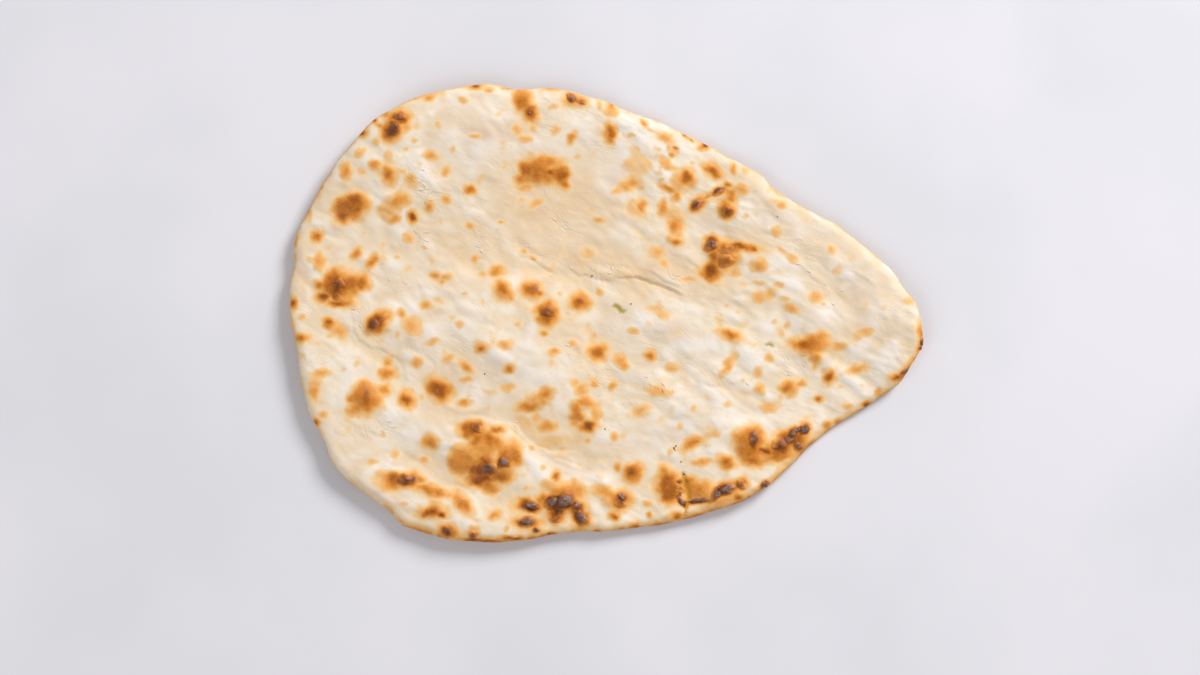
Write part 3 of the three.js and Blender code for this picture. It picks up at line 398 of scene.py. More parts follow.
# Ghee soaked into hollows, with the broad faint pools in the valleys partly painted shade: x, y, half
# length, half width, turn, strength
GHEE_AND_SHADE_POOLS = [
    (-41, -55, 10, 4, -55, 0.78), (-27, -63.5, 13, 4.6, -4, 0.72), (-12, -62, 7, 4, 20, 0.4),
    (8, 22, 30, 8, -12, 0.1), (-78, -52, 14, 7, -20, 0.08), (-32, 70, 34, 25, -10, 0.12),
    (-55, -28, 9, 7, 0, 0.14), (-97, -12, 9, 7, 0, 0.16), (-72, 1, 7, 6, 0, 0.12),
    (18, -13, 9, 7, 0, 0.14), (-67, -23, 6, 5, 0, 0.12), (142, -35, 7, 4, 35, 0.2),
]
GHEE_WANDER, GHEE_FADE = [(8, 2, 95)], (0.35, 0.9)

# Where bare dough is more golden or, with a negative strength, more floury than the rest; some golden
# patches along creases and in hollows are painted shade, and some floury patches on swells that face the
# light are painted highlight: x, y, half length, half width, turn, strength
TONES_AND_PAINTED_LIGHT = [
    (-50, 92.5, 28, 6, -2, 0.46), (-74, 98, 10, 6, 0, 0.36), (-60, 87, 8, 4, 0, 0.2),
    (-44, 97, 7, 5, 0, 0.22), (6, 65, 8, 7, 0, 0.36), (32, -59, 11, 6, 0, 0.36), (-134, 45, 6, 6, 0, 0.5),
    (-124, 5, 6, 10, 0, 0.36), (-120, -23, 8, 6, 0, 0.24), (-30, 12, 6, 6, 0, 0.34),
    (34, -8, 15, 9, -10, 0.4), (-153, 11, 5, 11, 0, 0.3), (37, 89, 9, 4, -35, 0.28),
    (-58, 47, 8, 6, 0, 0.28), (-82, 30, 9, 6, 0, 0.3), (110, -22, 6, 6, 0, 0.42),
    (26, 21, 9, 5, -10, 0.42), (-38, 52, 8, 6, 0, 0.4), (-42, 64, 7, 5, 0, 0.22),
    (-17, 26, 10, 5, -10, 0.4), (79, -58, 7, 5, 0, 0.26), (4, -86, 5, 5, 0, 0.22),
    (-97, -11, 8, 6, 0, 0.12), (-54, -27, 8, 6, 0, 0.1), (142, -34, 6, 4, 30, 0.1),
    (5, 17.5, 14, 3.5, -12, 0.46), (-65, -49, 9, 3.5, 0, 0.4), (-101, -73, 6, 4, 0, 0.4),
    (66, -29, 8, 6, 0, 0.22), (-104, -63, 7, 5, 0, 0.14), (-117, 49, 5, 5, 0, 0.2),
    (-14, -18, 7, 6, 0, 0.22), (-32, 19, 7, 6, 0, 0.16), (18, -25, 9, 7, 0, 0.26),
    (-68, -88, 7, 5, 0, 0.2), (-82, -85, 6, 5, 0, 0.2), (99, 47, 8, 5, -35, 0.2), (-135, 44, 5, 5, 0, 0.3),
    (-43, 65, 6, 5, 0, 0.22), (-66, 90, 8, 5, 0, 0.25), (-27, 9, 6, 5, 0, 0.2), (142, -34, 7, 5, 30, 0.3),
    (-54, -28, 7, 5, 0, 0.15), (-93, -12, 7, 5, 0, 0.15), (-16, -19, 6, 6, 0, 0.2),
    (-10, -1, 9, 7, 0, -0.28), (-16, -86, 6, 5, 0, -0.25), (-34, 110, 6, 4, 0, -0.2),
    (74, 21, 7, 6, 0, -0.25), (31, 36, 7, 6, 0, -0.24), (-66, 36, 6, 5, 0, -0.22),
    (-16, -45, 7, 5, 0, -0.22), (-129, -61, 6, 5, 0, -0.22), (-68, -39, 10, 8, 0, -0.68),
    (-25, -44, 12, 8, 20, -0.55), (70, 52.5, 17, 8, -28, -0.6), (128, -21, 9, 6, 0, -0.6),
    (98, -26, 8, 6, 0, -0.4), (-12, 0, 8, 8, 0, -0.34), (-56, -11, 8, 7, 0, -0.34),
    (-35, -34, 11, 7, 0, -0.55), (-50, -44, 7, 5, 0, -0.36), (-45, 17, 7, 7, 0, -0.3),
    (-19, 42, 10, 8, 0, -0.2), (70, 23, 8, 6, 0, -0.38), (55, -82, 6, 5, 0, -0.35),
    (118, -52, 8, 4, 30, -0.3), (-140, -61, 7, 6, 0, -0.3), (134, 0, 9, 8, 0, -0.3),
    (-34, 110, 7, 4, 0, -0.3), (-17, -86, 7, 6, 0, -0.25), (130, 29, 7, 6, 0, -0.2),
    (-72, 21, 7, 6, 0, -0.2), (146, 14, 6, 6, 0, -0.15), (26, -82, 6, 6, 0, -0.22),
    (37, -32, 6, 5, 0, -0.2),
]
TONE_WANDER, TONE_FADE = [(9, 2.5, 101)], (0.2, 1.1)

# Thin bubbles of skin that puffed up and burnt: x, y, half length, half width, turn, height,
# how much browner than the spot they rise from
BURNT_BUBBLES = [
    (-51, -74, 3.1, 2.7, 90, 1.5, 0.21), (-59, -77.5, 4.6, 4.1, 20, 1.5, 0.08),
    (-64.5, -56.8, 3.2, 2.5, -20, 0.8, -0.02),
    (-21, -94, 5, 4.3, 0, 1.9, 0.22), (-27.3, -94.3, 3.3, 3.2, 0, 1.4, 0.2),
    (-14.5, -95.8, 2.4, 2.1, 0, 1.1, 0.2), (-12.3, -102, 3.9, 3.1, 100, 1.3, 0.14),
    (-37.5, -95.8, 4.2, 2.2, -5, 1.2, 0.2), (-39.5, -103.8, 4.9, 2.4, -5, 1.2, 0.2),
    (-34.5, -107.8, 1.7, 1.5, 0, 0.8, 0.2), (-24.5, -102.5, 3.0, 2.2, 20, 0.7, 0.02),
    (8, -91.3, 2.5, 2.1, -50, 1.2, 0.18), (7, -95, 3.4, 2.1, 0, 0.7, 0.0),
    (55, -90.3, 3.0, 2.4, 60, 1.3, 0.25), (60, -87.8, 4.4, 2.9, 8, 1.5, 0.25),
    (46, -93.4, 6.0, 1.2, 6, 0.6, 0.25), (37.7, -93.8, 3.6, 1.3, -50, 0.8, 0.3),
    (37, -88, 2.4, 2.0, 20, 0.7, -0.05), (67.5, -85.3, 2.5, 2.4, 0, 0.9, 0.02),
    (99, -57.8, 2.8, 2.7, 0, 1.6, 0.3), (93.5, -59.5, 3.2, 1.9, 35, 1.2, 0.22),
    (96.2, -57.4, 2.5, 1.4, 0, 1.1, 0.25), (91, -63.3, 2.7, 1.6, 20, 0.8, 0.16),
    (86.5, -64.8, 3.8, 3.4, 0, 1.0, 0.01), (73.5, -62.3, 4.4, 2.2, 95, 0.8, 0.06),
    (96, -66.3, 2.6, 2.2, 0, 0.9, 0.1), (79.5, -85.3, 1.8, 1.7, 0, 1.1, 0.25),
    (-99.5, -82.8, 3.6, 2.9, 10, 0.9, 0.04), (-78.8, -108.6, 3.0, 2.2, -30, 0.7, 0.02),
    (-66.5, -110.3, 2.2, 2.0, 90, 0.7, 0.04), (45.5, 54.8, 3.3, 2.2, 50, 1.2, 0.12),
    (56, 60.6, 3.0, 1.5, 20, 0.6, 0.08), (60.8, 51.2, 3.0, 2.7, 70, 1.0, 0.0),
    (52.5, 34.3, 3.4, 2.9, 70, 1.3, 0.12), (60, 26.3, 4.6, 3.2, 20, 1.0, -0.08),
    (60, 32, 4.6, 2.6, -10, 0.6, -0.07), (-29, 1.5, 4.0, 3.5, 0, 1.0, -0.04),
    (-116, -5.8, 3.2, 2.9, 30, 0.9, 0.04), (-111, -1.8, 3.2, 2.0, 30, 0.6, -0.06),
    (-132.5, 15.3, 2.8, 2.2, -30, 0.6, -0.06), (-134, 8.3, 2.5, 1.5, 0, 0.5, -0.06),
    (-17.3, 107.6, 3.0, 1.7, -35, 0.9, 0.1), (-12.6, 105.2, 2.4, 0.9, -20, 0.5, 0.06),
    (-102.5, 97.8, 3.0, 2.2, 0, 0.7, -0.02), (-105, 91.3, 3.0, 2.8, 60, 0.7, -0.01),
    (148.6, -28.9, 3.4, 1.2, 43, 0.7, 0.16), (145.9, -31.6, 1.6, 1.1, 30, 0.6, 0.14),
    (157.3, -13.6, 2.4, 0.9, 88, 0.5, 0.16), (156.6, -17, 1.4, 0.9, 75, 0.5, 0.1),
]
BURNT_HALO = 1.3  # how far past a bubble the skin is scorched
BURNT_SKIN = 0.9  # browning there, before what the bubble adds

# Loose specks of char: x, y
SPECKS = [
    (-0.5, -57.8), (34, -67.2), (34.4, -68.2), (35, -66.2), (37.5, -74.2), (-7, 18.8), (12.5, 4.8),
    (38.6, -80.1), (39.3, -80.5), (40.2, -83.2), (40.8, -84.0), (35.4, -83.9), (36.1, -84.3),
    (36.8, -84.6), (36.8, -90.1), (37.3, -90.5), (35.2, -91.6), (85.5, 48.2), (-60.5, -30.2),
    (57.5, 32.8),
]

BLUSH, BLUSH_LIMIT = 0.02, 0.28  # faint gold between the spots, and the most of it
BLUSH_PATCHES = [(15, 0.1, 97), (6, 0.2, 98), (2.4, 0.07, 99)]

# The broad golden band inside the near edge: x, y, radius, strength
WASHED_RIM = [
    (-100, -100, 24, 0.7), (-70, -114, 22, 0.9), (-35, -110, 26, 0.7), (15, -108, 28, 0.9),
    (55, -98, 26, 1.0), (88, -78, 24, 1.0), (118, -52, 24, 0.8), (150, -22, 16, 0.6),
]
WASH = 0.36  # how golden it is
WASH_BAND, WASH_BAND_WAVES = 4.5, [(11, 2, 93)]  # how wide
WASH_PATCHES = [(4, 0.4, 94)]

# Stretches of rim that took more heat: x, y, radius, strength
HOT_RIM = [
    (-75, -112, 45, 0.9), (50, -104, 40, 0.8), (110, -62, 35, 0.7), (150, -25, 22, 0.8),
    (-10, -112, 40, 0.6), (-150, 30, 45, 0.35), (-100, 105, 30, 0.3), (60, 78, 35, 0.18),
]
RIM_HEAT = 0.42  # the heat that all of the rim took
RIM_PATCH, RIM_LEAST_PATCH, RIM_PATCHES = 0.62, 0.3, [(8, 0.5, 91), (3, 0.35, 92)]
RIM_BROWNING = 0.9
RIM_LINE = 0.2  # the width that is browned most
RIM_REACH, RIM_HOT_REACH = 0.7, 1.5  # how far in the browning goes, and what heat adds to that
RIM_FALL = 1.2


# ---- small helpers ----------------------------------------------------------------------
def ease(value):
    """A soft step from 0 to 1."""
    t = np.clip(value, 0, 1)
    return t * t * (3 - 2 * t)


def blend(first, second, power):
    """Close to the larger of the two: the higher the power, the less they add to each other."""
    return (first ** power + second ** power) ** (1 / power)


SCRAMBLE = (127.1, 311.7, 74.7, 43758.5453)  # for the column, the row, the seed and their sum


def place_random(column, row, seed):
    """A number from 0 to 1 that looks random but is always the same for one place and seed."""
    wave = np.sin(column * SCRAMBLE[0] + row * SCRAMBLE[1] + seed * SCRAMBLE[2]) * SCRAMBLE[3]
    return wave - np.floor(wave)


def slow_ends(t):
    """From 0 to 1, setting off and arriving slowly."""
    return t ** 3 * (t * (t * 6 - 15) + 10)


def noise(x, y, seed):
    """Smooth noise from -1 to 1, with bumps about one unit across."""
    column, row = np.floor(x), np.floor(y)
    across, up = slow_ends(x - column), slow_ends(y - row)
    near = place_random(column, row, seed) * (1 - across) + place_random(column + 1, row, seed) * across
    far = (place_random(column, row + 1, seed) * (1 - across)
           + place_random(column + 1, row + 1, seed) * across)
    return (near * (1 - up) + far * up) * 2 - 1


WAVE_GAIN = 1.6


def wave_noise(x, y, seed):
    """Rounder noise from about -1 to 1: sloping waves that meet at whole-number places."""
    column, row = np.floor(x), np.floor(y)
    total = np.zeros(np.broadcast(x, y).shape)
    for step_x in (0, 1):
        for step_y in (0, 1):
            angle = 2 * math.pi * place_random(column + step_x, row + step_y, seed)
            off_x, off_y = x - column - step_x, y - row - step_y
            fade = ease(1 - np.abs(off_x)) * ease(1 - np.abs(off_y))
            total += fade * (off_x * np.cos(angle) + off_y * np.sin(angle))
    return WAVE_GAIN * total


def layered(kind, x, y, layers, base=0.0):
    """A base with layers of one kind of noise on it, each given by its size, height and seed."""
    for size, height, seed in layers:
        base = base + height * kind(x / size, y / size, seed)
    return base


def wandered(kind, x, y, layers):
    """The places moved about by noise, so that what is drawn there doesn't look ruled."""
    other_layers = [(size, reach, seed + 1) for size, reach, seed in layers]
    return layered(kind, x, y, layers, x), layered(kind, x, y, other_layers, y)


CURVE_STEPS = 60  # worked out between two given points before they are spaced evenly


def smooth_curve(points, count, closed):
    """Evenly spaced points on a smooth curve through the given ones."""
    corners = np.array(points, float)
    if closed:
        corners = np.vstack([corners[-1:], corners, corners[:2]])
    else:
        corners = np.vstack([2 * corners[0] - corners[1], corners, 2 * corners[-1] - corners[-2]])
    spans = len(corners) - 3
    place = np.linspace(0, spans, spans * CURVE_STEPS + 1)
    span = np.minimum(place.astype(int), spans - 1)
    t = (place - span)[:, None]
    a, b, c, d = (corners[span + step] for step in range(4))
    curve = 0.5 * (2 * b + (c - a) * t + (2 * a - 5 * b + 4 * c - d) * t ** 2
                   + (3 * b - a - 3 * c + d) * t ** 3)
    run = np.concatenate([[0], np.cumsum(np.hypot(*np.diff(curve, axis=0).T))])
    wanted = np.linspace(0, run[-1], count + 1)
    return np.column_stack([np.interp(wanted, run, curve[:, 0]), np.interp(wanted, run, curve[:, 1])])


def nearest_on_line(x, y, line):
    """Distance to a line, signed side (left is positive) and share of the way along it."""
    best = np.full(x.shape, np.inf)
    side = np.zeros(x.shape)
    along = np.zeros(x.shape)
    for step in range(len(line) - 1):
        run = line[step + 1] - line[step]
        length = math.hypot(*run)
        off_x, off_y = x - line[step][0], y - line[step][1]
        t = np.clip((off_x * run[0] + off_y * run[1]) / length ** 2, 0, 1)
        off_x = off_x - t * run[0]
        off_y = off_y - t * run[1]
        distance = np.hypot(off_x, off_y)
        closer = distance < best
        best = np.where(closer, distance, best)
        side = np.where(closer, (run[0] * off_y - run[1] * off_x) / length, side)
        along = np.where(closer, (step + t) / (len(line) - 1), along)
    return best, side, along


def end_taper(along, end):
    """1 along the middle of a line, easing to 0 over the given share of it at each end."""
    return ease(along / end) * ease((1 - along) / end)


def oval_distance(x, y, centre_x, centre_y, half_length, half_width, turn):
    """0 at the middle of an oval and 1 on its line."""
    angle = math.radians(turn)
    off_x, off_y = x - centre_x, y - centre_y
    along = (off_x * math.cos(angle) + off_y * math.sin(angle)) / half_length
    across = (-off_x * math.sin(angle) + off_y * math.cos(angle)) / half_width
    return np.hypot(along, across)


def oval_strengths(x, y, ovals, fade):
    """How strong each oval is at each point, one after the other."""
    start, span = fade
    for *oval, strength in ovals:
        yield strength * (1 - ease((oval_distance(x, y, *oval) - start) / span))


def strongest_oval(x, y, ovals, fade):
    return np.max(list(oval_strengths(x, y, ovals, fade)), axis=0)


def sum_of_bumps(x, y, bumps):
    return sum(height * np.exp(-((x - bx) ** 2 + (y - by) ** 2) / radius ** 2)
               for bx, by, radius, height in bumps)


def along_and_across(x, y):
    """Places measured along the pull of the dough and across it."""
    return (x * math.cos(STRETCH_TURN) + y * math.sin(STRETCH_TURN),
            -x * math.sin(STRETCH_TURN) + y * math.cos(STRETCH_TURN))


# ---- relief of the sheet ------------------------------------------------------------------
def fold_relief(x, y):
    moved_x, moved_y = wandered(noise, x, y, FOLD_WANDER)
    total = sum_of_bumps(moved_x, moved_y, SWELLS)
    for height, left, right, path in FOLDS:
        distance, side, along = nearest_on_line(moved_x, moved_y, smooth_curve(path, FOLD_STEPS, False))
        reach = right + (left - right) * ease(0.5 + side / (2 * right))
        total = total + height * end_taper(along, FOLD_END) * np.exp(-(distance / reach) ** 2)
    return total


def lump_relief(x, y):
    """Ripples along the pull of the dough, higher towards the tip, with round lumps on them."""
    along, across = along_and_across(x, y)
    bend = layered(noise, x, y, RIPPLE_BEND)
    grown = ease((x - RIPPLE_GROWS_FROM) / (RIPPLE_GROWS_TO - RIPPLE_GROWS_FROM))
    height = RIPPLE_BROAD_END + (RIPPLE_TIP_END - RIPPLE_BROAD_END) * grown
    ripples = height * noise(along / RIPPLE_ALONG + bend, across / RIPPLE_ACROSS, RIPPLE_SEED)
    return layered(noise, x, y, LUMPS, ripples)


def blister_relief(x, y):
    total = np.zeros(x.shape)
    for *oval, dome in BLISTERS:
        q = oval_distance(x, y, *oval)
        total += dome * np.maximum(0, 1 - q * q / BLISTER_FOOT) ** 2
    return total


SPOT_LIFT, SPOT_LIFT_LIMIT = 0.11, 0.45  # a spot's height by its half width, and the most of it
SPOT_LIFT_FROM, SPOT_LIFT_SPAN = 0.2, 0.5  # the browning that starts to lift it, and what it takes more
SPOT_DOME_REACH, SPOT_DOME_POWER = 1.15, 1.3


def spot_relief(x, y):
    """The small domes under the browned spots."""
    total = np.zeros(x.shape)
    for sx, sy, half_length, half_width, turn, brown in TOASTED_SPOTS:
        q = oval_distance(x, y, sx, sy, half_length * SPOT_DOME_REACH, half_width * SPOT_DOME_REACH, turn)
        lift = min(SPOT_LIFT_LIMIT, SPOT_LIFT * min(half_length, half_width))
        lift = lift * ease((brown - SPOT_LIFT_FROM) / SPOT_LIFT_SPAN)
        total = np.maximum(total, lift * np.maximum(0, 1 - q * q) ** SPOT_DOME_POWER)
    return total


GAS_SEED, GAS_BUBBLES = 73, 520
GAS_FIELD = (155, 112)  # they are strewn this far each way from the middle
GAS_SMALLEST, GAS_LARGEST = 1.4, 4.6  # radius
GAS_LIFT = 0.07  # height as a share of the radius
GAS_DOME_POWER = 1.5
GAS_RISEN, GAS_PIT = 0.75, 0.7  # the share that still stands up, and how deep the others fell in
GAS_SQUEEZE = (0.65, 1.0)
GAS_TURN, GAS_TURN_SPREAD = -30, 35
GAS_BOX = 5  # no bubble reaches further


def gas_bubble_relief(x, y):
    """Small pale bubbles of gas under the skin, with a few pits where they fell in."""
    rng = np.random.default_rng(GAS_SEED)
    total = np.zeros(x.shape)
    places = rng.uniform(-np.array(GAS_FIELD), GAS_FIELD, (GAS_BUBBLES, 2))
    radii = GAS_SMALLEST + (GAS_LARGEST - GAS_SMALLEST) * rng.random(GAS_BUBBLES) ** 2
    signs = np.where(rng.random(GAS_BUBBLES) < GAS_RISEN, 1, -GAS_PIT)
    squeezes = rng.uniform(*GAS_SQUEEZE, GAS_BUBBLES)
    turns = rng.normal(GAS_TURN, GAS_TURN_SPREAD, GAS_BUBBLES)
    for place, radius, sign, squeeze, turn in zip(places, radii, signs, squeezes, turns):
        near = (np.abs(x - place[0]) < GAS_BOX) & (np.abs(y - place[1]) < GAS_BOX)
        q = oval_distance(x[near], y[near], place[0], place[1], radius, radius * squeeze, turn)
        total[near] += sign * GAS_LIFT * radius * np.maximum(0, 1 - q * q) ** GAS_DOME_POWER
    return total


def crease_relief(x, y):
    """Flaps of skin: a step at the line, sloping back down behind it, with a groove below."""
    wander_x, wander_y = wandered(wave_noise, x, y, CREASE_WANDER)
    total = np.zeros(x.shape)
    for step, groove, path in CREASES:
        line = smooth_curve(path, CREASE_STEPS * len(path), False)
        low, high = line.min(axis=0) - FLAP_BOX * FLAP_REACH, line.max(axis=0) + FLAP_BOX * FLAP_REACH
        near = (x > low[0]) & (x < high[0]) & (y > low[1]) & (y < high[1])
        distance, side, along = nearest_on_line(wander_x[near], wander_y[near], line)
        behind = np.where(side * step > 0, distance, -distance)
        flap = abs(step) * (0.5 + 0.5 * np.tanh(behind / CREASE_EDGE))
        flap = flap * np.exp(-np.maximum(behind, 0) / FLAP_REACH)
        cut = groove * np.exp(-(distance / GROOVE_WIDTH) ** 2)
        total[near] += end_taper(along, CREASE_END) * (flap - cut)
    return total


def tear_mask(x, y):
    return strongest_oval(*wandered(noise, x, y, TEAR_WANDER), TEARS, TEAR_FADE)


def flaky_mask(x, y):
    return strongest_oval(*wandered(noise, x, y, FLAKY_WANDER), FLAKY_SKIN, FLAKY_FADE)


def crack_mask(x, y):
    crack_x, crack_y, half_width = np.array(EDGE_CRACK).T
    line = smooth_curve(np.column_stack([crack_x, crack_y]), CRACK_STEPS, False)
    distance, _, _ = nearest_on_line(layered(noise, x, y, CRACK_WANDER, x), y, line)
    return np.exp(-(distance / np.interp(-y, -crack_y, half_width)) ** 4)


def puff_relief(x, y):
    """Close-set round puffs with narrow valleys between them, higher in some patches."""
    along, across = along_and_across(x, y)
    total = np.zeros(x.shape)
    for size, height, seed in PUFFS:
        bend_layer = (PUFF_BEND_SIZE * size, PUFF_BEND * size, seed + PUFF_SEED_STEP)
        bend = layered(wave_noise, x, y, [bend_layer])
        wave = wave_noise((along + bend) / (size * PUFF_STRETCH), (across - bend) / size, seed)
        patch_layer = (PUFF_PATCH_SIZE * size, PUFF_PATCH_SWING, seed + 2 * PUFF_SEED_STEP)
        patches = layered(wave_noise, x, y, [patch_layer], PUFF_PATCH)
        total += patches * height * (np.sqrt(wave ** 2 + PUFF_ROUNDING ** 2) - PUFF_GROUND)
    off_x, off_y = (x - SMOOTH_PLACE[0]) / SMOOTH_REACH[0], (y - SMOOTH_PLACE[1]) / SMOOTH_REACH[1]
    return total * (1 - SMOOTHING * np.exp(-off_x ** 2 - off_y ** 2))


def streak_relief(x, y):
    """Long narrow pull marks, stronger towards the tip."""
    along, across = along_and_across(x, y)
    total = np.zeros(x.shape)
    for length, width, height, seed in STREAKS:
        bend = layered(wave_noise, x, y, [(length, STREAK_BEND * width, seed + STREAK_SEED_STEP)])
        wave = wave_noise(along / length, (across + bend) / width, seed)
        total += height * (1 - np.sqrt(np.abs(wave) + STREAK_ROUNDING) * STREAK_FALL)
    patches = layered(wave_noise, x, y, STREAK_PATCHES, STREAK_PATCH)
    grown = ease((x - STREAK_GROWS_FROM) / (STREAK_GROWS_TO - STREAK_GROWS_FROM))
    return total * patches * (STREAK_BROAD_END + STREAK_TIP_GAIN * grown)


def fine_relief(x, y):
    total = puff_relief(x, y) + streak_relief(x, y) + spot_relief(x, y) + gas_bubble_relief(x, y)
    return total + crease_relief(x, y) - TEAR_DEPTH * tear_mask(x, y) - CRACK_DEPTH * crack_mask(x, y)


def sheet_height(x, y, folds, lumps):
    """Height of the underside, away from the edge; flat where the sheet rests."""
    relief = UNDERSIDE_SHARE * folds + UNDERSIDE_LUMP_SHARE * lumps
    return np.maximum(0, sum_of_bumps(x, y, LIFTS) + relief - SEAT_DROP)


FINE_RIM = 2.5  # how far inside the edge the fine relief has its full height


def top_height(x, y, inset):
    folds, lumps = fold_relief(x, y), lump_relief(x, y)
    near_edge = 1 - np.clip(inset / RIM_ROUND_ABOVE, 0, 1)
    dough = RIM_HEIGHT + (DOUGH_THICKNESS - RIM_HEIGHT) * np.sqrt(1 - near_edge ** 2)
    relief = (1 - UNDERSIDE_SHARE) * folds + (1 - UNDERSIDE_LUMP_SHARE) * lumps + blister_relief(x, y)
    relief = relief * ease(inset / RIM_ROUND_ABOVE)
    fine = fine_relief(x, y) * ease(inset / FINE_RIM)
    return sheet_height(x, y, folds, lumps) + dough + relief + fine


def underside_height(x, y, inset):
    near_edge = 1 - np.clip(inset / RIM_ROUND_BELOW, 0, 1)
    turn_up = RIM_HEIGHT * (1 - np.sqrt(1 - near_edge ** 2))
    return sheet_height(x, y, fold_relief(x, y), lump_relief(x, y)) + turn_up


# ---- the edge line and the rings of points --------------------------------------------------
EDGE_SAMPLES = 1440
SECTORS = 6  # a disc's first ring has so many points, and each ring so many more than the last


def edge_table():
    """Points of the edge line, and how squarely the edge faces the centre there."""
    line = smooth_curve(OUTLINE, EDGE_SAMPLES, True)[:-1]
    outward = np.roll(line, -1, axis=0) - np.roll(line, 1, axis=0)
    outward = np.column_stack([outward[:, 1], -outward[:, 0]])
    outward /= np.linalg.norm(outward, axis=1, keepdims=True)
    around = np.arange(EDGE_SAMPLES) / EDGE_SAMPLES * 2 * math.pi
    for height, bumps, seed in EDGE_WAVES:
        wave = height * noise(bumps * np.cos(around), bumps * np.sin(around), seed)
        line = line + outward * wave[:, None]
    low, high = line.min(axis=0), line.max(axis=0)
    line = (line - (low + high) / 2) * (LENGTH, WIDTH) / (high - low)
    facing = ((line - CENTRE) * outward).sum(axis=1)
    return line, facing


EDGE_LINE, EDGE_FACING = edge_table()


def edge_at(share):
    """Edge point and facing for a share of the way round."""
    place = share * EDGE_SAMPLES
    whole = np.arange(EDGE_SAMPLES + 1)
    x = np.interp(place, whole, np.append(EDGE_LINE[:, 0], EDGE_LINE[0, 0]))
    y = np.interp(place, whole, np.append(EDGE_LINE[:, 1], EDGE_LINE[0, 1]))
    facing = np.interp(place, whole, np.append(EDGE_FACING, EDGE_FACING[0]))
    return x, y, facing


def ring_points(share, scale):
    edge_x, edge_y, facing = edge_at(share)
    x = CENTRE[0] + (edge_x - CENTRE[0]) * scale
    y = CENTRE[1] + (edge_y - CENTRE[1]) * scale
    return x, y, (1 - scale) * facing


def disc_points(rings, short_of_edge):
    """Rings of 6, 12, 18 ... points round the centre, stopping short of the edge line."""
    counts = SECTORS * np.arange(1, rings + 1)
    ring = np.concatenate([[0], np.repeat(np.arange(1, rings + 1), counts)])
    share = np.concatenate([[0]] + [np.arange(count) / count for count in counts])
    part = ring / rings
    scale = part * (1 + RING_CROWDING * (1 - part)) * (1 - short_of_edge / edge_at(share)[2])
    return ring_points(share, scale)


def disc_triangles(rings):
    """Triangles of such a disc: each of six sectors gains one point from ring to ring."""
    faces = []
    start_inner, start_outer = 0, 1
    for ring in range(1, rings + 1):
        inner_count, outer_count = max(1, SECTORS * (ring - 1)), SECTORS * ring
        sector = np.repeat(np.arange(SECTORS), ring)
        step = np.tile(np.arange(ring), SECTORS)
        inner_here = start_inner + (sector * (ring - 1) + step) % inner_count
        inner_next = start_inner + (sector * (ring - 1) + step + 1) % inner_count
        outer_here = start_outer + sector * ring + step
        outer_next = start_outer + (sector * ring + step + 1) % outer_count
        faces.append(np.column_stack([inner_here, outer_here, outer_next]))
        between = step < ring - 1
        faces.append(np.column_stack([inner_here, outer_next, inner_next])[between])
        start_inner, start_outer = start_outer, start_outer + outer_count
    return np.vstack(faces)


def equal_rings(inner, outer):
    """Joins a ring to the next one out with as many points."""
    after_inner, after_outer = np.roll(inner, -1), np.roll(outer, -1)
    return np.vstack([np.column_stack([inner, outer, after_outer]),
                      np.column_stack([inner, after_outer, after_inner])])


def half_ring(inner, outer):
    """Joins a ring to an outer one with twice as many points."""
    after = np.roll(inner, -1)
    first, middle, last = outer[0::2], outer[1::2], np.roll(outer[0::2], -1)
    return np.vstack([np.column_stack([inner, first, middle]),
                      np.column_stack([inner, middle, after]),
                      np.column_stack([after, middle, last])])


TOP_DISC_INSET = 3.4  # how far inside the edge the disc of the top ends
RIM_INSETS = (2.2, 1.1, 0.35)  # extra rings that round the top of the rim
UNDER_INSETS = (1.0, 0.3)  # and those that round it below


def bread_mesh_arrays():
    """Points in millimetres, triangles, insets, and which points are on the underside."""
    around = SECTORS * RINGS
    share = np.arange(around) / around
    facing = edge_at(share)[2]
    blocks, faces = [], []
    count = 0

    def add_block(x, y, z, inset, below):
        nonlocal count
        blocks.append(np.column_stack([x, y, z, inset, np.full(x.shape, below)]))
        count += len(x)
        return np.arange(count - len(x), count)

    x, y, inset = disc_points(RINGS, TOP_DISC_INSET)
    disc = add_block(x, y, top_height(x, y, inset), inset, 0)
    faces.append(disc_triangles(RINGS))
    ring = disc[-around:]
    for gap in RIM_INSETS + (0.0,):
        x, y, inset = ring_points(share, 1 - gap / facing)
        following = add_block(x, y, top_height(x, y, inset), inset, 0)
        faces.append(equal_rings(ring, following))
        ring = following
    edge_line = ring
    for gap in reversed(UNDER_INSETS):
        x, y, inset = ring_points(share, 1 - gap / facing)
        following = add_block(x, y, underside_height(x, y, inset), inset, 1)
        faces.append(equal_rings(following, edge_line)[:, ::-1])
        edge_line = following
    x, y, inset = disc_points(RINGS // 2, RIM_ROUND_BELOW)
    disc = add_block(x, y, underside_height(x, y, inset), inset, 1)
    faces.append(disc_triangles(RINGS // 2)[:, ::-1] + disc[0])
    faces.append(half_ring(disc[-(around // 2):], edge_line)[:, ::-1])
    table = np.vstack(blocks)
    return table[:, :3], np.vstack(faces), table[:, 3], table[:, 4] > 0.5


# ---- browning, worked out point by point ------------------------------------------------------
SPOT_WANDER = [(8, 2.4, 71), (3.6, 1.0, 73), (1.7, 0.3, 75)]  # how far a spot's outline wanders
SPOT_WANDER_LIMIT = 0.26  # and the most that one layer moves it, by the spot's size
SPOT_MOTTLE, SPOT_MOTTLE_LAYERS = 0.13, [(5.5, 0.7, 83), (2.6, 0.5, 81), (1.2, 0.35, 82)]
SPOT_BLEND = 9  # how little overlapping spots add to each other
SPOT_LINE = 0.925  # where in its oval a spot ends
SPOT_BOX, SPOT_BOX_MARGIN = 2.5, 9  # nothing of a spot is left past so many half lengths and a margin
SPOT_SOFT_SHARE = 0.82  # how soft the edge of a small spot is, by its half width
SPOT_SOFT, SPOT_SOFT_GROWTH = 2.4, 0.07  # of a large spot, and what its size adds
SOFT_PATCHES = [(9, 0.4, 85)]  # where edges are softer or sharper
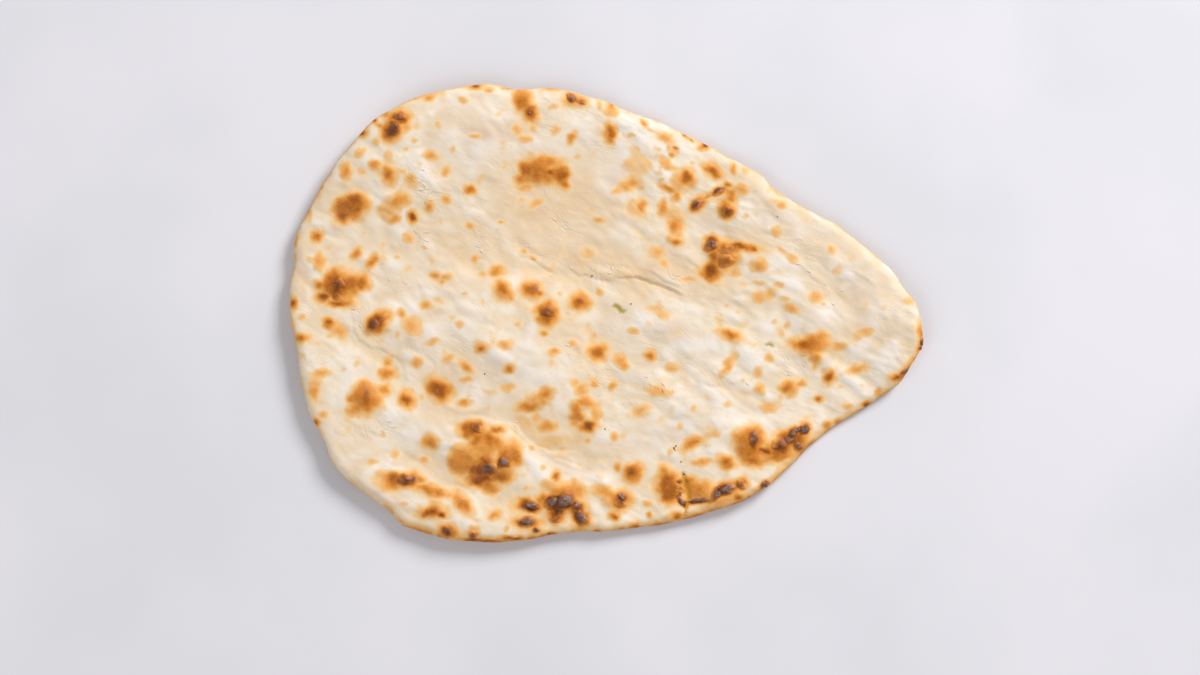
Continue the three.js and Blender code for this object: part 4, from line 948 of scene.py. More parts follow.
FALL_SHIFT, FALL_SPREAD = 0.2, 0.34
HALO, HALO_REACH = 0.24, 3.5  # the faint gold round a brown spot, and how far it reaches
HALO_SIZE = 4.5  # smaller spots have less of it
HALO_FROM, HALO_SPAN = 0.3, 0.5  # the browning where it starts, and what it takes more
BUBBLING, BUBBLING_SPAN = 1.1, 0.12  # the skin blisters where it is browner than this


def edge_fall(gap, soft):
    """How brown a spot still is this far past its line, from 1 well inside it to 0."""
    return 1 / (1 + np.exp((gap + FALL_SHIFT * soft) / (FALL_SPREAD * soft)))


def brown_spots(x, y, spots):
    """How brown the spots make each point; above 1 is charred."""
    wanders = [(reach, wave_noise(x / size, y / size, seed), wave_noise(x / size, y / size, seed + 1))
               for size, reach, seed in SPOT_WANDER]
    mottle = layered(wave_noise, x, y, SPOT_MOTTLE_LAYERS)
    softness = layered(wave_noise, x, y, SOFT_PATCHES, 1)
    total = np.zeros(x.shape)
    for sx, sy, half_length, half_width, turn, brown in spots:
        size = math.sqrt(half_length * half_width)
        thin = min(half_length, half_width)
        margin = SPOT_BOX * max(half_length, half_width) + SPOT_BOX_MARGIN
        near = (np.abs(x - sx) < margin) & (np.abs(y - sy) < margin)
        moved_x, moved_y = x[near], y[near]
        for reach, wander_x, wander_y in wanders:
            amount = min(reach, SPOT_WANDER_LIMIT * size)
            moved_x = moved_x + amount * wander_x[near]
            moved_y = moved_y + amount * wander_y[near]
        q = oval_distance(moved_x, moved_y, sx, sy, half_length, half_width, turn)
        gap = (q - SPOT_LINE) * thin
        soft = min(SPOT_SOFT_SHARE * thin, SPOT_SOFT + SPOT_SOFT_GROWTH * size) * softness[near]
        halo = HALO * min(1, size / HALO_SIZE) * ease((brown - HALO_FROM) / HALO_SPAN)
        halo = halo * np.exp(-np.maximum(gap, 0) / HALO_REACH)
        spot = brown * edge_fall(gap, soft) / edge_fall(-SPOT_LINE * thin, soft)
        spot = spot * (1 + SPOT_MOTTLE * mottle[near]) + halo
        total[near] = blend(total[near], spot, SPOT_BLEND)
    return total


def top_browning(x, y):
    scorched = [(bx, by, BURNT_HALO * half_length, BURNT_HALO * half_width, turn, BURNT_SKIN + burn)
                for bx, by, half_length, half_width, turn, _, burn in BURNT_BUBBLES]
    return brown_spots(x, y, TOASTED_SPOTS + scorched)


def blush(x, y):
    """Faint gold that comes and goes over the whole top."""
    return np.clip(BLUSH + layered(wave_noise, x, y, BLUSH_PATCHES), 0, BLUSH_LIMIT)


def rim_toast(x, y, inset):
    """A browned line along the edge, and the broad golden band inside it."""
    heat = RIM_HEAT + sum_of_bumps(x, y, HOT_RIM)
    patches = layered(wave_noise, x, y, RIM_PATCHES, RIM_PATCH)
    line = np.clip(heat * patches, 0, 1)
    reach = RIM_REACH + RIM_HOT_REACH * heat * np.clip(patches, RIM_LEAST_PATCH, 1)
    edge = RIM_BROWNING * line * np.exp(-(np.maximum(inset - RIM_LINE, 0) / reach) ** RIM_FALL)
    band = layered(wave_noise, x, y, WASH_BAND_WAVES, WASH_BAND)
    wash = WASH * sum_of_bumps(x, y, WASHED_RIM) * layered(wave_noise, x, y, WASH_PATCHES, 1)
    return np.maximum(edge, np.clip(wash, 0, 1) * np.exp(-(inset / band) ** 2))


UNDERSIDE_SEED, UNDERSIDE_SPOTS = 29, 260
UNDERSIDE_FIELD = (152, 110)  # they are strewn this far each way from the middle
UNDERSIDE_SMALLEST, UNDERSIDE_MORE = 1.5, 7.5  # size of the smallest, and what the largest has more
UNDERSIDE_FEWER = 2.2  # the higher, the fewer large ones
UNDERSIDE_ROUNDNESS, UNDERSIDE_BROWNING = (0.5, 1), (0.35, 0.95)
UNDERSIDE_TOAST, UNDERSIDE_CLOUDS = 0.34, [(16, 0.16, 33), (5, 0.1, 34)]  # between the spots


def underside_browning(x, y):
    """Browning where the dough lay against the hot wall, denser than on the top."""
    rng = np.random.default_rng(UNDERSIDE_SEED)
    half_length, half_width = UNDERSIDE_FIELD
    spots = []
    for _ in range(UNDERSIDE_SPOTS):
        size = UNDERSIDE_SMALLEST + UNDERSIDE_MORE * rng.random() ** UNDERSIDE_FEWER
        spots.append((rng.uniform(-half_length, half_length), rng.uniform(-half_width, half_width),
                      size, size * rng.uniform(*UNDERSIDE_ROUNDNESS), rng.uniform(0, 180),
                      rng.uniform(*UNDERSIDE_BROWNING)))
    return np.maximum(brown_spots(x, y, spots), layered(noise, x, y, UNDERSIDE_CLOUDS, UNDERSIDE_TOAST))


# ghee, and painted shade in the broad valleys
def ghee_and_shade_mask(x, y):
    return strongest_oval(*wandered(noise, x, y, GHEE_WANDER), GHEE_AND_SHADE_POOLS, GHEE_FADE)


def tone_and_light_field(x, y):
    """From -1, floury or painted highlight, to 1, golden or painted shade."""
    return np.clip(sum(oval_strengths(*wandered(noise, x, y, TONE_WANDER), TONES_AND_PAINTED_LIGHT, TONE_FADE)), -1, 1)


# ---- the bread and its burnt bubbles --------------------------------------------------------------
def add_object(name, data):
    thing = bpy.data.objects.new(name, data)
    bpy.context.collection.objects.link(thing)
    return thing


def add_values(mesh, name, values):
    """Gives each point of a mesh a value that materials and scattering can read."""
    mesh.attributes.new(name, "FLOAT", "POINT").data.foreach_set("value", np.asarray(values, np.float32))


BLUSH_BLEND, RIM_BLEND = 3, 4
# the share of the folds in the relief that the dough colour paints with shade and highlight
PAINTED_LIGHT_FOLD_SHARE = 0.25
CHAR_RIM, CHAR_RIM_SPAN = 1, 2  # no char blisters nearer to the edge than this


def make_bread():
    points, triangles, inset, below = bread_mesh_arrays()
    mesh = bpy.data.meshes.new("naan_bread")
    mesh.vertices.add(len(points))
    mesh.vertices.foreach_set("co", (points * MM).ravel())
    mesh.loops.add(3 * len(triangles))
    mesh.loops.foreach_set("vertex_index", triangles.ravel())
    mesh.polygons.add(len(triangles))
    mesh.polygons.foreach_set("loop_start", 3 * np.arange(len(triangles)))
    mesh.polygons.foreach_set("use_smooth", np.ones(len(triangles), bool))
    mesh.update(calc_edges=True)
    mesh.validate()
    x, y = points[:, 0], points[:, 1]
    toast = np.where(below, underside_browning(x, y), blend(top_browning(x, y), blush(x, y), BLUSH_BLEND))
    toast = blend(toast, rim_toast(x, y, inset), RIM_BLEND)
    add_values(mesh, "toast", toast)
    on_top = {
        "crack": crack_mask(x, y),
        "ghee_and_shade": ghee_and_shade_mask(x, y),
        "tone_and_light": tone_and_light_field(x, y),
        "tear": tear_mask(x, y),
        # relief that the crust colour follows: painted shade in hollows, painted highlight on raised parts
        "shading_relief": puff_relief(x, y) + streak_relief(x, y) + PAINTED_LIGHT_FOLD_SHARE * fold_relief(x, y),
        "flaky": flaky_mask(x, y),
        "char": ease((toast - BUBBLING) / BUBBLING_SPAN) * ease((inset - CHAR_RIM) / CHAR_RIM_SPAN),
    }
    for name, values in on_top.items():
        add_values(mesh, name, np.where(below, 0, values))
    return add_object("naan_bread", mesh)


def inset_from_edge(x, y):
    line = smooth_curve(OUTLINE, EDGE_SAMPLES, True)
    gaps = np.hypot(x[:, None] - line[None, :, 0], y[:, None] - line[None, :, 1])
    return gaps.min(axis=1)


BUBBLE_SEED = 17
BUBBLE_SIDES = 20
# Rings of a bubble, from its top down: reach and height as shares of the bubble's own
BUBBLE_LEVELS = [(0.2, 0.98), (0.42, 0.91), (0.62, 0.77), (0.8, 0.56), (0.93, 0.3), (1.0, 0.0)]
BUBBLE_FOOT, BUBBLE_SINK = 0.96, 0.5  # reach of its foot, and how deep that is sunk into the crust
BUBBLE_WOBBLE = [(2, 0.14), (3, 0.1), (6, 0.06)]  # bumps round a bubble, height as a share of its reach
BUBBLE_CRINKLE = [(1.7, 0.45, 61), (0.8, 0.25, 62)]
BUBBLE_BURN = 0.4  # the share of its extra browning that a bubble has on top
LIT_SIDE_TURN = math.radians(48)  # the side of a bubble that faces the window light, where a painted highlight goes with the ash
LIT_SIDE_SHARE = 0.45
ASH_AND_HIGHLIGHT_FROM, ASH_AND_HIGHLIGHT_SPAN = 0.55, 0.4  # height up the bubble where ash and painted highlight start, and how soon they are full
ASH_AND_HIGHLIGHT_BURN, ASH_AND_HIGHLIGHT_BURN_SPAN = -0.03, 0.25  # the same for how burnt a bubble is
ASH_AND_HIGHLIGHT_PATCH, ASH_AND_HIGHLIGHT_PATCHES = 0.6, [(1.1, 0.7, 63)]


def make_bubbles():
    """The larger burnt bubbles: crinkled domes closed below, sunk a little into the crust."""
    rng = np.random.default_rng(BUBBLE_SEED)
    spots, rises, toward_light, burns, faces = [], [], [], [], []
    side_angles = 2 * math.pi * np.arange(BUBBLE_SIDES) / BUBBLE_SIDES
    for x, y, half_length, half_width, turn, height, burn in BURNT_BUBBLES:
        first = len(spots)
        angle = math.radians(turn)
        wobble = 1
        for bumps, depth in BUBBLE_WOBBLE:
            wobble = wobble + depth * np.sin(bumps * side_angles + rng.uniform(0, 6))
        rings = BUBBLE_LEVELS + [(BUBBLE_FOOT, -BUBBLE_SINK / height)]
        shine_turn = LIT_SIDE_TURN - angle
        places = [(0.0, 0.0, 1.0)]
        for reach, level in rings:
            places += [(reach * w * math.cos(a), reach * w * math.sin(a), level)
                       for a, w in zip(side_angles, wobble)]
        for along, across, level in places:
            off_x, off_y = along * half_length, across * half_width
            spots.append((x + off_x * math.cos(angle) - off_y * math.sin(angle),
                          y + off_x * math.sin(angle) + off_y * math.cos(angle), level * height))
            rises.append(max(0.0, level))
            toward_light.append(along * math.cos(shine_turn) + across * math.sin(shine_turn))
            burns.append(burn)
        for side in range(BUBBLE_SIDES):
            after = (side + 1) % BUBBLE_SIDES
            faces.append((first, first + 1 + side, first + 1 + after))
            for ring in range(len(rings) - 1):
                inner, outer = first + 1 + ring * BUBBLE_SIDES, first + 1 + (ring + 1) * BUBBLE_SIDES
                faces.append((inner + side, outer + side, outer + after, inner + after))
        last = first + 1 + (len(rings) - 1) * BUBBLE_SIDES
        faces.append(tuple(last + side for side in reversed(range(BUBBLE_SIDES))))
    spots, rises, toward_light, burns = np.array(spots), np.array(rises), np.array(toward_light), np.array(burns)
    x, y, lift = spots.T
    ground = top_height(x, y, inset_from_edge(x, y))
    z = ground + np.where(lift > 0, lift * layered(wave_noise, x, y, BUBBLE_CRINKLE, 1), lift)
    mesh = bpy.data.meshes.new("burnt_bubbles")
    mesh.from_pydata([tuple(spot) for spot in np.column_stack([x, y, z]) * MM], [], faces)
    mesh.update()
    mesh.polygons.foreach_set("use_smooth", np.ones(len(mesh.polygons), bool))
    # ash on the tops of burnt bubbles, with a painted highlight pushed to the side that faces the window
    # light
    ash_and_highlight = ease((burns - ASH_AND_HIGHLIGHT_BURN) / ASH_AND_HIGHLIGHT_BURN_SPAN)
    ash_and_highlight = ash_and_highlight * ease((rises + LIT_SIDE_SHARE * toward_light - ASH_AND_HIGHLIGHT_FROM) / ASH_AND_HIGHLIGHT_SPAN)
    ash_and_highlight = ash_and_highlight * layered(wave_noise, x, y, ASH_AND_HIGHLIGHT_PATCHES, ASH_AND_HIGHLIGHT_PATCH)
    add_values(mesh, "toast", top_browning(x, y) + BUBBLE_BURN * burns * rises)
    add_values(mesh, "ash_and_highlight", np.clip(ash_and_highlight, 0, 1))
    return add_object("burnt_bubbles", mesh)


# ---- colours and materials --------------------------------------------------------------------
def shown(red, green, blue):
    """The linear colour of a colour as judged on an sRGB screen, from 0 to 255."""
    parts = [value / 255 for value in (red, green, blue)]
    return tuple(p / 12.92 if p <= 0.04045 else ((p + 0.055) / 1.055) ** 2.4 for p in parts) + (1,)


def new_material(name):
    """A material, its node tree, places on the object that wears it, and its shader."""
    material = bpy.data.materials.new(name)
    material.use_nodes = True
    tree = material.node_tree
    place = tree.nodes.new("ShaderNodeTexCoord").outputs["Object"]
    return material, tree, place, tree.nodes["Principled BSDF"]


def feed(tree, value, socket):
    """Sets a socket to a number or colour, or links it to another node's output."""
    if isinstance(value, (int, float, tuple)):
        socket.default_value = value
    else:
        tree.links.new(value, socket)


def add_noise(tree, coords, scale, detail=2.0, roughness=0.5, distortion=0.0):
    node = tree.nodes.new("ShaderNodeTexNoise")
    node.inputs["Scale"].default_value = scale
    node.inputs["Detail"].default_value = detail
    node.inputs["Roughness"].default_value = roughness
    node.inputs["Distortion"].default_value = distortion
    tree.links.new(coords, node.inputs["Vector"])
    return node.outputs["Fac"]


def add_math(tree, operation, first, second=0.0):
    node = tree.nodes.new("ShaderNodeMath")
    node.operation = operation
    feed(tree, first, node.inputs[0])
    feed(tree, second, node.inputs[1])
    return node.outputs[0]


def add_range(tree, value, low, high, to_low=0.0, to_high=1.0):
    node = tree.nodes.new("ShaderNodeMapRange")
    node.interpolation_type = "SMOOTHSTEP"
    tree.links.new(value, node.inputs["Value"])
    for name, number in (("From Min", low), ("From Max", high), ("To Min", to_low), ("To Max", to_high)):
        node.inputs[name].default_value = number
    return node.outputs["Result"]


def add_mix(tree, factor, first, second):
    node = tree.nodes.new("ShaderNodeMix")
    node.data_type = "RGBA"
    for place, value in ((0, factor), (6, first), (7, second)):
        feed(tree, value, node.inputs[place])
    return node.outputs[2]


def add_ramp(tree, value, stops):
    node = tree.nodes.new("ShaderNodeValToRGB")
    ramp = node.color_ramp
    while len(ramp.elements) < len(stops):
        ramp.elements.new(0.5)
    for element, (place, colour) in zip(ramp.elements, stops):
        element.position = place
        element.color = colour
    tree.links.new(value, node.inputs["Fac"])
    return node.outputs["Color"]


def add_attribute(tree, name):
    node = tree.nodes.new("ShaderNodeAttribute")
    node.attribute_name = name
    return node.outputs["Fac"]


def add_bump(tree, height, distance, strength, under=None):
    """A bump, on top of the normal of another one where that is given."""
    node = tree.nodes.new("ShaderNodeBump")
    feed(tree, height, node.inputs["Height"])
    feed(tree, distance, node.inputs["Distance"])
    feed(tree, strength, node.inputs["Strength"])
    if under is not None:
        feed(tree, under, node.inputs["Normal"])
    return node.outputs["Normal"]


def add_turned(tree, coords, stretch):
    """Coordinates turned to run along the pull of the dough, and squeezed along it."""
    node = tree.nodes.new("ShaderNodeMapping")
    node.vector_type = "TEXTURE"
    node.inputs["Rotation"].default_value = (0, 0, STRETCH_TURN)
    node.inputs["Scale"].default_value = (stretch, 1, 1)
    tree.links.new(coords, node.inputs["Vector"])
    return node.outputs["Vector"]


# What a browning value looks like, from bare dough to char
TOAST_COLOURS = [
    (0.00, shown(238, 220, 190)),
    (0.115, shown(237, 214, 176)),
    (0.225, shown(236, 200, 150)),
    (0.365, shown(236, 187, 124)),
    (0.52, shown(232, 169, 93)),
    (0.66, shown(222, 151, 67)),
    (0.79, shown(210, 134, 50)),
    (0.9, shown(192, 116, 36)),
    (1.01, shown(170, 96, 24)),
    (1.1, shown(147, 81, 19)),
    (1.17, shown(124, 65, 15)),
    (1.25, shown(92, 48, 19)),
]
CHAR_TOP = TOAST_COLOURS[-1][0]
# Textures are given as bumps per metre, detail, roughness and, for some, distortion.
COARSE_GRAIN, COARSE_SHARE = (420, 3, 0.6), 0.6
FINE_GRAIN, FINE_SHARE = (1300, 2, 0.6), 0.5
GRAIN_BY_BROWNING = (0.05, 0.6, 0.1, 1.0)  # from the first browning to the second, grain grows so much
COVER_BY_BROWNING = (0.04, 0.26)  # between these the toast colour takes over from bare dough


def toast_group():
    """Shared by everything baked: turns a browning value into a mottled toast colour."""
    group = bpy.data.node_groups.new("oven_browning", "ShaderNodeTree")
    face = group.interface
    face.new_socket("Browning", in_out="INPUT", socket_type="NodeSocketFloat")
    face.new_socket("Position", in_out="INPUT", socket_type="NodeSocketVector")
    face.new_socket("Grain", in_out="INPUT", socket_type="NodeSocketFloat")
    face.new_socket("Toast Colour", in_out="OUTPUT", socket_type="NodeSocketColor")
    face.new_socket("Cover", in_out="OUTPUT", socket_type="NodeSocketFloat")
    face.new_socket("Browned", in_out="OUTPUT", socket_type="NodeSocketFloat")
    start = group.nodes.new("NodeGroupInput")
    end = group.nodes.new("NodeGroupOutput")
    grains = []
    for texture, share in ((COARSE_GRAIN, COARSE_SHARE), (FINE_GRAIN, FINE_SHARE)):
        grain = add_math(group, "SUBTRACT", add_noise(group, start.outputs["Position"], *texture), 0.5)
        grains.append(add_math(group, "MULTIPLY", grain, share))
    amount = add_range(group, start.outputs["Browning"], *GRAIN_BY_BROWNING)
    speckle = add_math(group, "MULTIPLY", add_math(group, "ADD", *grains), amount)
    speckle = add_math(group, "MULTIPLY", speckle, start.outputs["Grain"])
    browned = add_math(group, "ADD", start.outputs["Browning"], speckle)
    ramp = add_ramp(group, add_math(group, "DIVIDE", browned, CHAR_TOP),
                    [(stop / CHAR_TOP, colour) for stop, colour in TOAST_COLOURS])
    group.links.new(ramp, end.inputs["Toast Colour"])
    group.links.new(add_range(group, browned, *COVER_BY_BROWNING), end.inputs["Cover"])
    group.links.new(browned, end.inputs["Browned"])
    return group


def add_browning(tree, browning, place, grain):
    """The shared browning, fed by the toast value that the mesh carries."""
    node = tree.nodes.new("ShaderNodeGroup")
    node.node_tree = browning
    tree.links.new(add_attribute(tree, "toast"), node.inputs["Browning"])
    tree.links.new(place, node.inputs["Position"])
    node.inputs["Grain"].default_value = grain
    return node.outputs


DULL_DOUGH, PALE_DOUGH = shown(230, 209, 180), shown(238, 226, 208)
FLECKED_DOUGH = shown(228, 201, 164)
# painted shade for hollows and a painted highlight for raised parts of the dough
PAINTED_HOLLOW_SHADE, PAINTED_RAISED_HIGHLIGHT = shown(227, 199, 161), shown(240, 233, 225)
# golden dough, partly painted shade; floury dough, partly painted highlight
GOLDEN_DOUGH_AND_SHADE, FLOURY_DOUGH_AND_HIGHLIGHT = shown(205, 168, 120), shown(252, 242, 230)
# golden ghee, that in the broad valleys also stands for painted shade
GHEE_AND_SHADE_COLOUR = shown(228, 179, 108)
CRACK_COLOUR, CRACK_COVER = shown(204, 140, 34), 0.9
TEAR_COLOUR = shown(172, 154, 80)
PULLED = 3.2  # how much longer flecks, pores and threads are along the pull of the dough
DOUGH_CLOUDS, CLOUD_EDGES = (38, 3, 0.55), (0.35, 0.65)
DOUGH_FLECKS, FLECK_EDGES, FLECK_COVER = (330, 3, 0.6), (0.4, 0.75), 0.4
# Hollows get painted shade and raised parts a painted highlight, against the level ground; the colour
# covers so much
LEVEL_GROUND, DEEP, HIGH, PAINTED_LIGHT_COVER = 0.05, -0.6, 0.7, 0.75


def dough_colour(tree, place, pulled, ghee_and_shade):
    """Bare dough: cloudy, flecked, with painted shade in hollows and a painted highlight where it stands
    up, golden or floury in patches that partly stand for painted shade and highlight, and golden where
    ghee soaked in.
    """
    shading_relief, tone_and_light = add_attribute(tree, "shading_relief"), add_attribute(tree, "tone_and_light")
    clouds = add_range(tree, add_noise(tree, place, *DOUGH_CLOUDS), *CLOUD_EDGES)
    flecks = add_range(tree, add_noise(tree, pulled, *DOUGH_FLECKS), *FLECK_EDGES, 0.0, FLECK_COVER)
    dough = add_mix(tree, clouds, DULL_DOUGH, PALE_DOUGH)
    for cover, colour in (
        (flecks, FLECKED_DOUGH),
        (add_range(tree, shading_relief, LEVEL_GROUND, DEEP, 0.0, PAINTED_LIGHT_COVER), PAINTED_HOLLOW_SHADE),
        (add_range(tree, shading_relief, LEVEL_GROUND, HIGH, 0.0, PAINTED_LIGHT_COVER), PAINTED_RAISED_HIGHLIGHT),
        (tone_and_light, GOLDEN_DOUGH_AND_SHADE),
        (add_math(tree, "MULTIPLY", tone_and_light, -1.0), FLOURY_DOUGH_AND_HIGHLIGHT),
        (ghee_and_shade, GHEE_AND_SHADE_COLOUR),
    ):
        dough = add_mix(tree, cover, dough, colour)
    return dough


SKIN_GRAIN, SKIN_GRAIN_HEIGHT = (900, 3, 0.6), 0.2
PORES, PORE_HEIGHT = (420, 3, 0.55, 0.5), 0.3
THREADS, THREAD_WIDTH, THREAD_HEIGHT = (240, 2, 0.5, 1.2), 0.05, 0.35
SKIN_BUMP, SKIN_BUMP_STRENGTH = 0.0005, 0.5
LAYER_EDGES, LAYER_COUNT, LAYER_PULLED = (88, 3, 0.55, 0.5), 9.0, 1.6
LEDGE_WIDTH, LEDGE_BUMP = 0.2, 0.00017
LEDGE_PATCHES, LEDGE_EDGES, FAINTEST_LEDGES, CLEAREST_LEDGES = (60, 1), (0.45, 0.65), 0.06, 0.5
FLAKY_LEDGES = 0.45  # what flaky skin adds to the ledges


def skin_normal(tree, place, pulled):
    """Fine grain, pores and dry threads, with ledges over them where thin layers of skin end."""
    flaky = add_attribute(tree, "flaky")
    grain = add_math(tree, "MULTIPLY", add_noise(tree, place, *SKIN_GRAIN), SKIN_GRAIN_HEIGHT)
    pores = add_math(tree, "MULTIPLY", add_noise(tree, pulled, *PORES), PORE_HEIGHT)
    threads = add_math(tree, "SUBTRACT", add_noise(tree, pulled, *THREADS), 0.5)
    threads = add_math(tree, "ABSOLUTE", threads)
    threads = add_range(tree, threads, 0.0, THREAD_WIDTH)
    threads = add_math(tree, "MULTIPLY", threads, add_math(tree, "MULTIPLY", flaky, THREAD_HEIGHT))
    height = add_math(tree, "ADD", add_math(tree, "ADD", grain, pores), threads)
    skin = add_bump(tree, height, SKIN_BUMP, SKIN_BUMP_STRENGTH)
    layers = add_noise(tree, add_turned(tree, place, LAYER_PULLED), *LAYER_EDGES)
    layers = add_math(tree, "MULTIPLY", layers, LAYER_COUNT)
    ledge = add_range(tree, add_math(tree, "FRACT", layers), 0.0, LEDGE_WIDTH)
    ledges = add_math(tree, "ADD", add_math(tree, "FLOOR", layers), ledge)
    patches = add_noise(tree, place, *LEDGE_PATCHES)
    patches = add_range(tree, patches, *LEDGE_EDGES, FAINTEST_LEDGES, CLEAREST_LEDGES)
    strength = add_math(tree, "ADD", patches, add_math(tree, "MULTIPLY", flaky, FLAKY_LEDGES))
    return add_bump(tree, ledges, LEDGE_BUMP, strength, skin)


MATT_TO_BROWNED = (0.3, 1.0, 0.68, 0.46)  # from one browning to another, and their roughness
GHEE_GLOSS = 0.2


def crust_material(browning):
    """Pale baked dough, browned by the attribute the mesh carries."""
    material, tree, place, shader = new_material("baked_crust")
    pulled = add_turned(tree, place, PULLED)
    ghee_and_shade = add_attribute(tree, "ghee_and_shade")
    toast = add_browning(tree, browning, place, grain=0.42)
    colour = add_mix(tree, toast["Cover"], dough_colour(tree, place, pulled, ghee_and_shade), toast["Toast Colour"])
    crack = add_math(tree, "MULTIPLY", add_attribute(tree, "crack"), CRACK_COVER)
    colour = add_mix(tree, crack, colour, CRACK_COLOUR)
    colour = add_mix(tree, add_attribute(tree, "tear"), colour, TEAR_COLOUR)
    rough = add_range(tree, toast["Browned"], *MATT_TO_BROWNED)
    rough = add_math(tree, "SUBTRACT", rough, add_math(tree, "MULTIPLY", ghee_and_shade, GHEE_GLOSS))
    tree.links.new(colour, shader.inputs["Base Color"])
    tree.links.new(rough, shader.inputs["Roughness"])
    tree.links.new(skin_normal(tree, place, pulled), shader.inputs["Normal"])
    shader.inputs["Specular IOR Level"].default_value = 0.25
    shader.inputs["Subsurface Weight"].default_value = 0.15
    shader.inputs["Subsurface Radius"].default_value = (1.0, 0.6, 0.35)
    shader.inputs["Subsurface Scale"].default_value = 0.0018
    return material


# ash and a painted highlight on the lit side, in one grey-mauve colour
ASH_AND_HIGHLIGHT_COLOUR, ASH_AND_HIGHLIGHT_COVER = shown(170, 142, 130), 0.72
ASH_AND_HIGHLIGHT_MOTTLE, ASH_AND_HIGHLIGHT_MOTTLE_EDGES, THINNEST_ASH_AND_HIGHLIGHT = (900, 2), (0.3, 0.7), 0.5
CRINKLE, CRINKLE_BUMP, CRINKLE_STRENGTH = (1100, 3, 0.6), 0.0004, 0.5


def blister_material(browning):
    """Thin glossy bubbles of burnt skin, ashy on top, with a painted highlight on the side that faces the
    window light.
    """
    material, tree, place, shader = new_material("burnt_bubble")
    toast = add_browning(tree, browning, place, grain=0.34)
    patches = add_noise(tree, place, *ASH_AND_HIGHLIGHT_MOTTLE)
    patches = add_range(tree, patches, *ASH_AND_HIGHLIGHT_MOTTLE_EDGES, THINNEST_ASH_AND_HIGHLIGHT, 1.0)
    ash_and_highlight = add_math(tree, "MULTIPLY", add_attribute(tree, "ash_and_highlight"), patches)
    ash_and_highlight = add_math(tree, "MULTIPLY", ash_and_highlight, ASH_AND_HIGHLIGHT_COVER)
    tree.links.new(add_mix(tree, ash_and_highlight, toast["Toast Colour"], ASH_AND_HIGHLIGHT_COLOUR), shader.inputs["Base Color"])
    bump = add_bump(tree, add_noise(tree, place, *CRINKLE), CRINKLE_BUMP, CRINKLE_STRENGTH)
    tree.links.new(bump, shader.inputs["Normal"])
    shader.inputs["Roughness"].default_value = 0.46
    shader.inputs["Specular IOR Level"].default_value = 0.42
    return material


def add_mottle(tree, place, texture, edge, first, second):
    """Two colours in soft patches; the nearer the edge value is to 0.5, the sharper they part."""
    return add_mix(tree, add_range(tree, add_noise(tree, place, *texture), edge, 1 - edge), first, second)


def flake_material(browning):
    """Dry lifted skin: the dough's own colours, a little paler."""
    material, tree, place, shader = new_material("dry_skin")
    toast = add_browning(tree, browning, place, grain=0.2)
    dough = add_mottle(tree, place, (500, 2), 0.35, shown(243, 230, 209), shown(250, 241, 227))
    colour = add_mix(tree, toast["Cover"], dough, toast["Toast Colour"])
    tree.links.new(colour, shader.inputs["Base Color"])
    shader.inputs["Roughness"].default_value = 0.55
    return material


def speck_material():
    material, tree, place, shader = new_material("char_speck")
    colour = add_mottle(tree, place, (1500, 2), 0.4, shown(62, 46, 40), shown(104, 82, 70))
    tree.links.new(colour, shader.inputs["Base Color"])
    shader.inputs["Roughness"].default_value = 0.6
    return material


def floor_material():
    material, tree, place, shader = new_material("pale_floor")
    colour = add_mottle(tree, place, (6, 3, 0.5), 0.35, shown(220, 220, 225), shown(228, 227, 232))
    tree.links.new(colour, shader.inputs["Base Color"])
    shader.inputs["Roughness"].default_value = 0.9
    shader.inputs["Specular IOR Level"].default_value = 0.1
    return material


# ---- blisters, flakes and specks, scattered by Geometry Nodes --------------------------------------
def chip_object(name, points, faces, ash_and_highlight=None):
    """A small mesh to scatter, from points in millimetres."""
    mesh = bpy.data.meshes.new(name)
    mesh.from_pydata([tuple(size * MM for size in point) for point in points], [], faces)
    if ash_and_highlight is not None:
        add_values(mesh, "ash_and_highlight", ash_and_highlight)
    mesh.update()
    return add_object(name, mesh)


def blister_chip():
    """A low dome 2 mm across, closed below."""
    sides, foot, height = 9, 0.25, 0.6
    # its top is ashy and carries a painted highlight
    points, ash_and_highlight, faces = [(0, 0, height)], [0.8], []
    levels = ((0.5, 0.86), (0.86, 0.5), (1.0, 0.0), (0.9, -foot / height))
    for ring, (reach, level) in enumerate(levels):
        for side in range(sides):
            angle = 2 * math.pi * (side + 0.5 * ring) / sides
            points.append((reach * math.cos(angle), reach * math.sin(angle), level * height))
            ash_and_highlight.append(max(0.0, level - 0.2))
    for side in range(sides):
        after = (side + 1) % sides
        faces.append((0, 1 + side, 1 + after))
        for ring in range(len(levels) - 1):
            inner, outer = 1 + ring * sides, 1 + (ring + 1) * sides
            faces.append((inner + side, outer + side, inner + after))
            faces.append((inner + after, outer + side, outer + after))
    last = 1 + (len(levels) - 1) * sides
    faces.append(tuple(last + side for side in reversed(range(sides))))
    return chip_object("blister_chip", points, faces, ash_and_highlight)


def flake_chip():
    """A curled sliver of skin 2 mm long, tapering to both ends."""
    steps, length, half_width, thickness, arch, bow = 6, 2.0, 0.24, 0.07, 0.16, 0.3
    points, faces = [], []
    for step in range(steps + 1):
        t = step / steps
        swell = max(0.06, math.sin(math.pi * t))
        x, y, z = (t - 0.5) * length, bow * 4 * t * (1 - t), arch * 4 * t * (1 - t)
        wide, thick = half_width * swell, thickness * (0.4 + 0.6 * swell)
        points += [(x, y - wide, z), (x, y, z + thick), (x, y + wide, z + 0.1), (x, y, z - thick)]
    for step in range(steps):
        for corner in range(4):
            here, beside = 4 * step + corner, 4 * step + (corner + 1) % 4
            faces.append((here, beside, beside + 4, here + 4))
    faces += [(3, 2, 1, 0), tuple(4 * steps + corner for corner in range(4))]
    return chip_object("flake_chip", points, [tuple(reversed(face)) for face in faces])


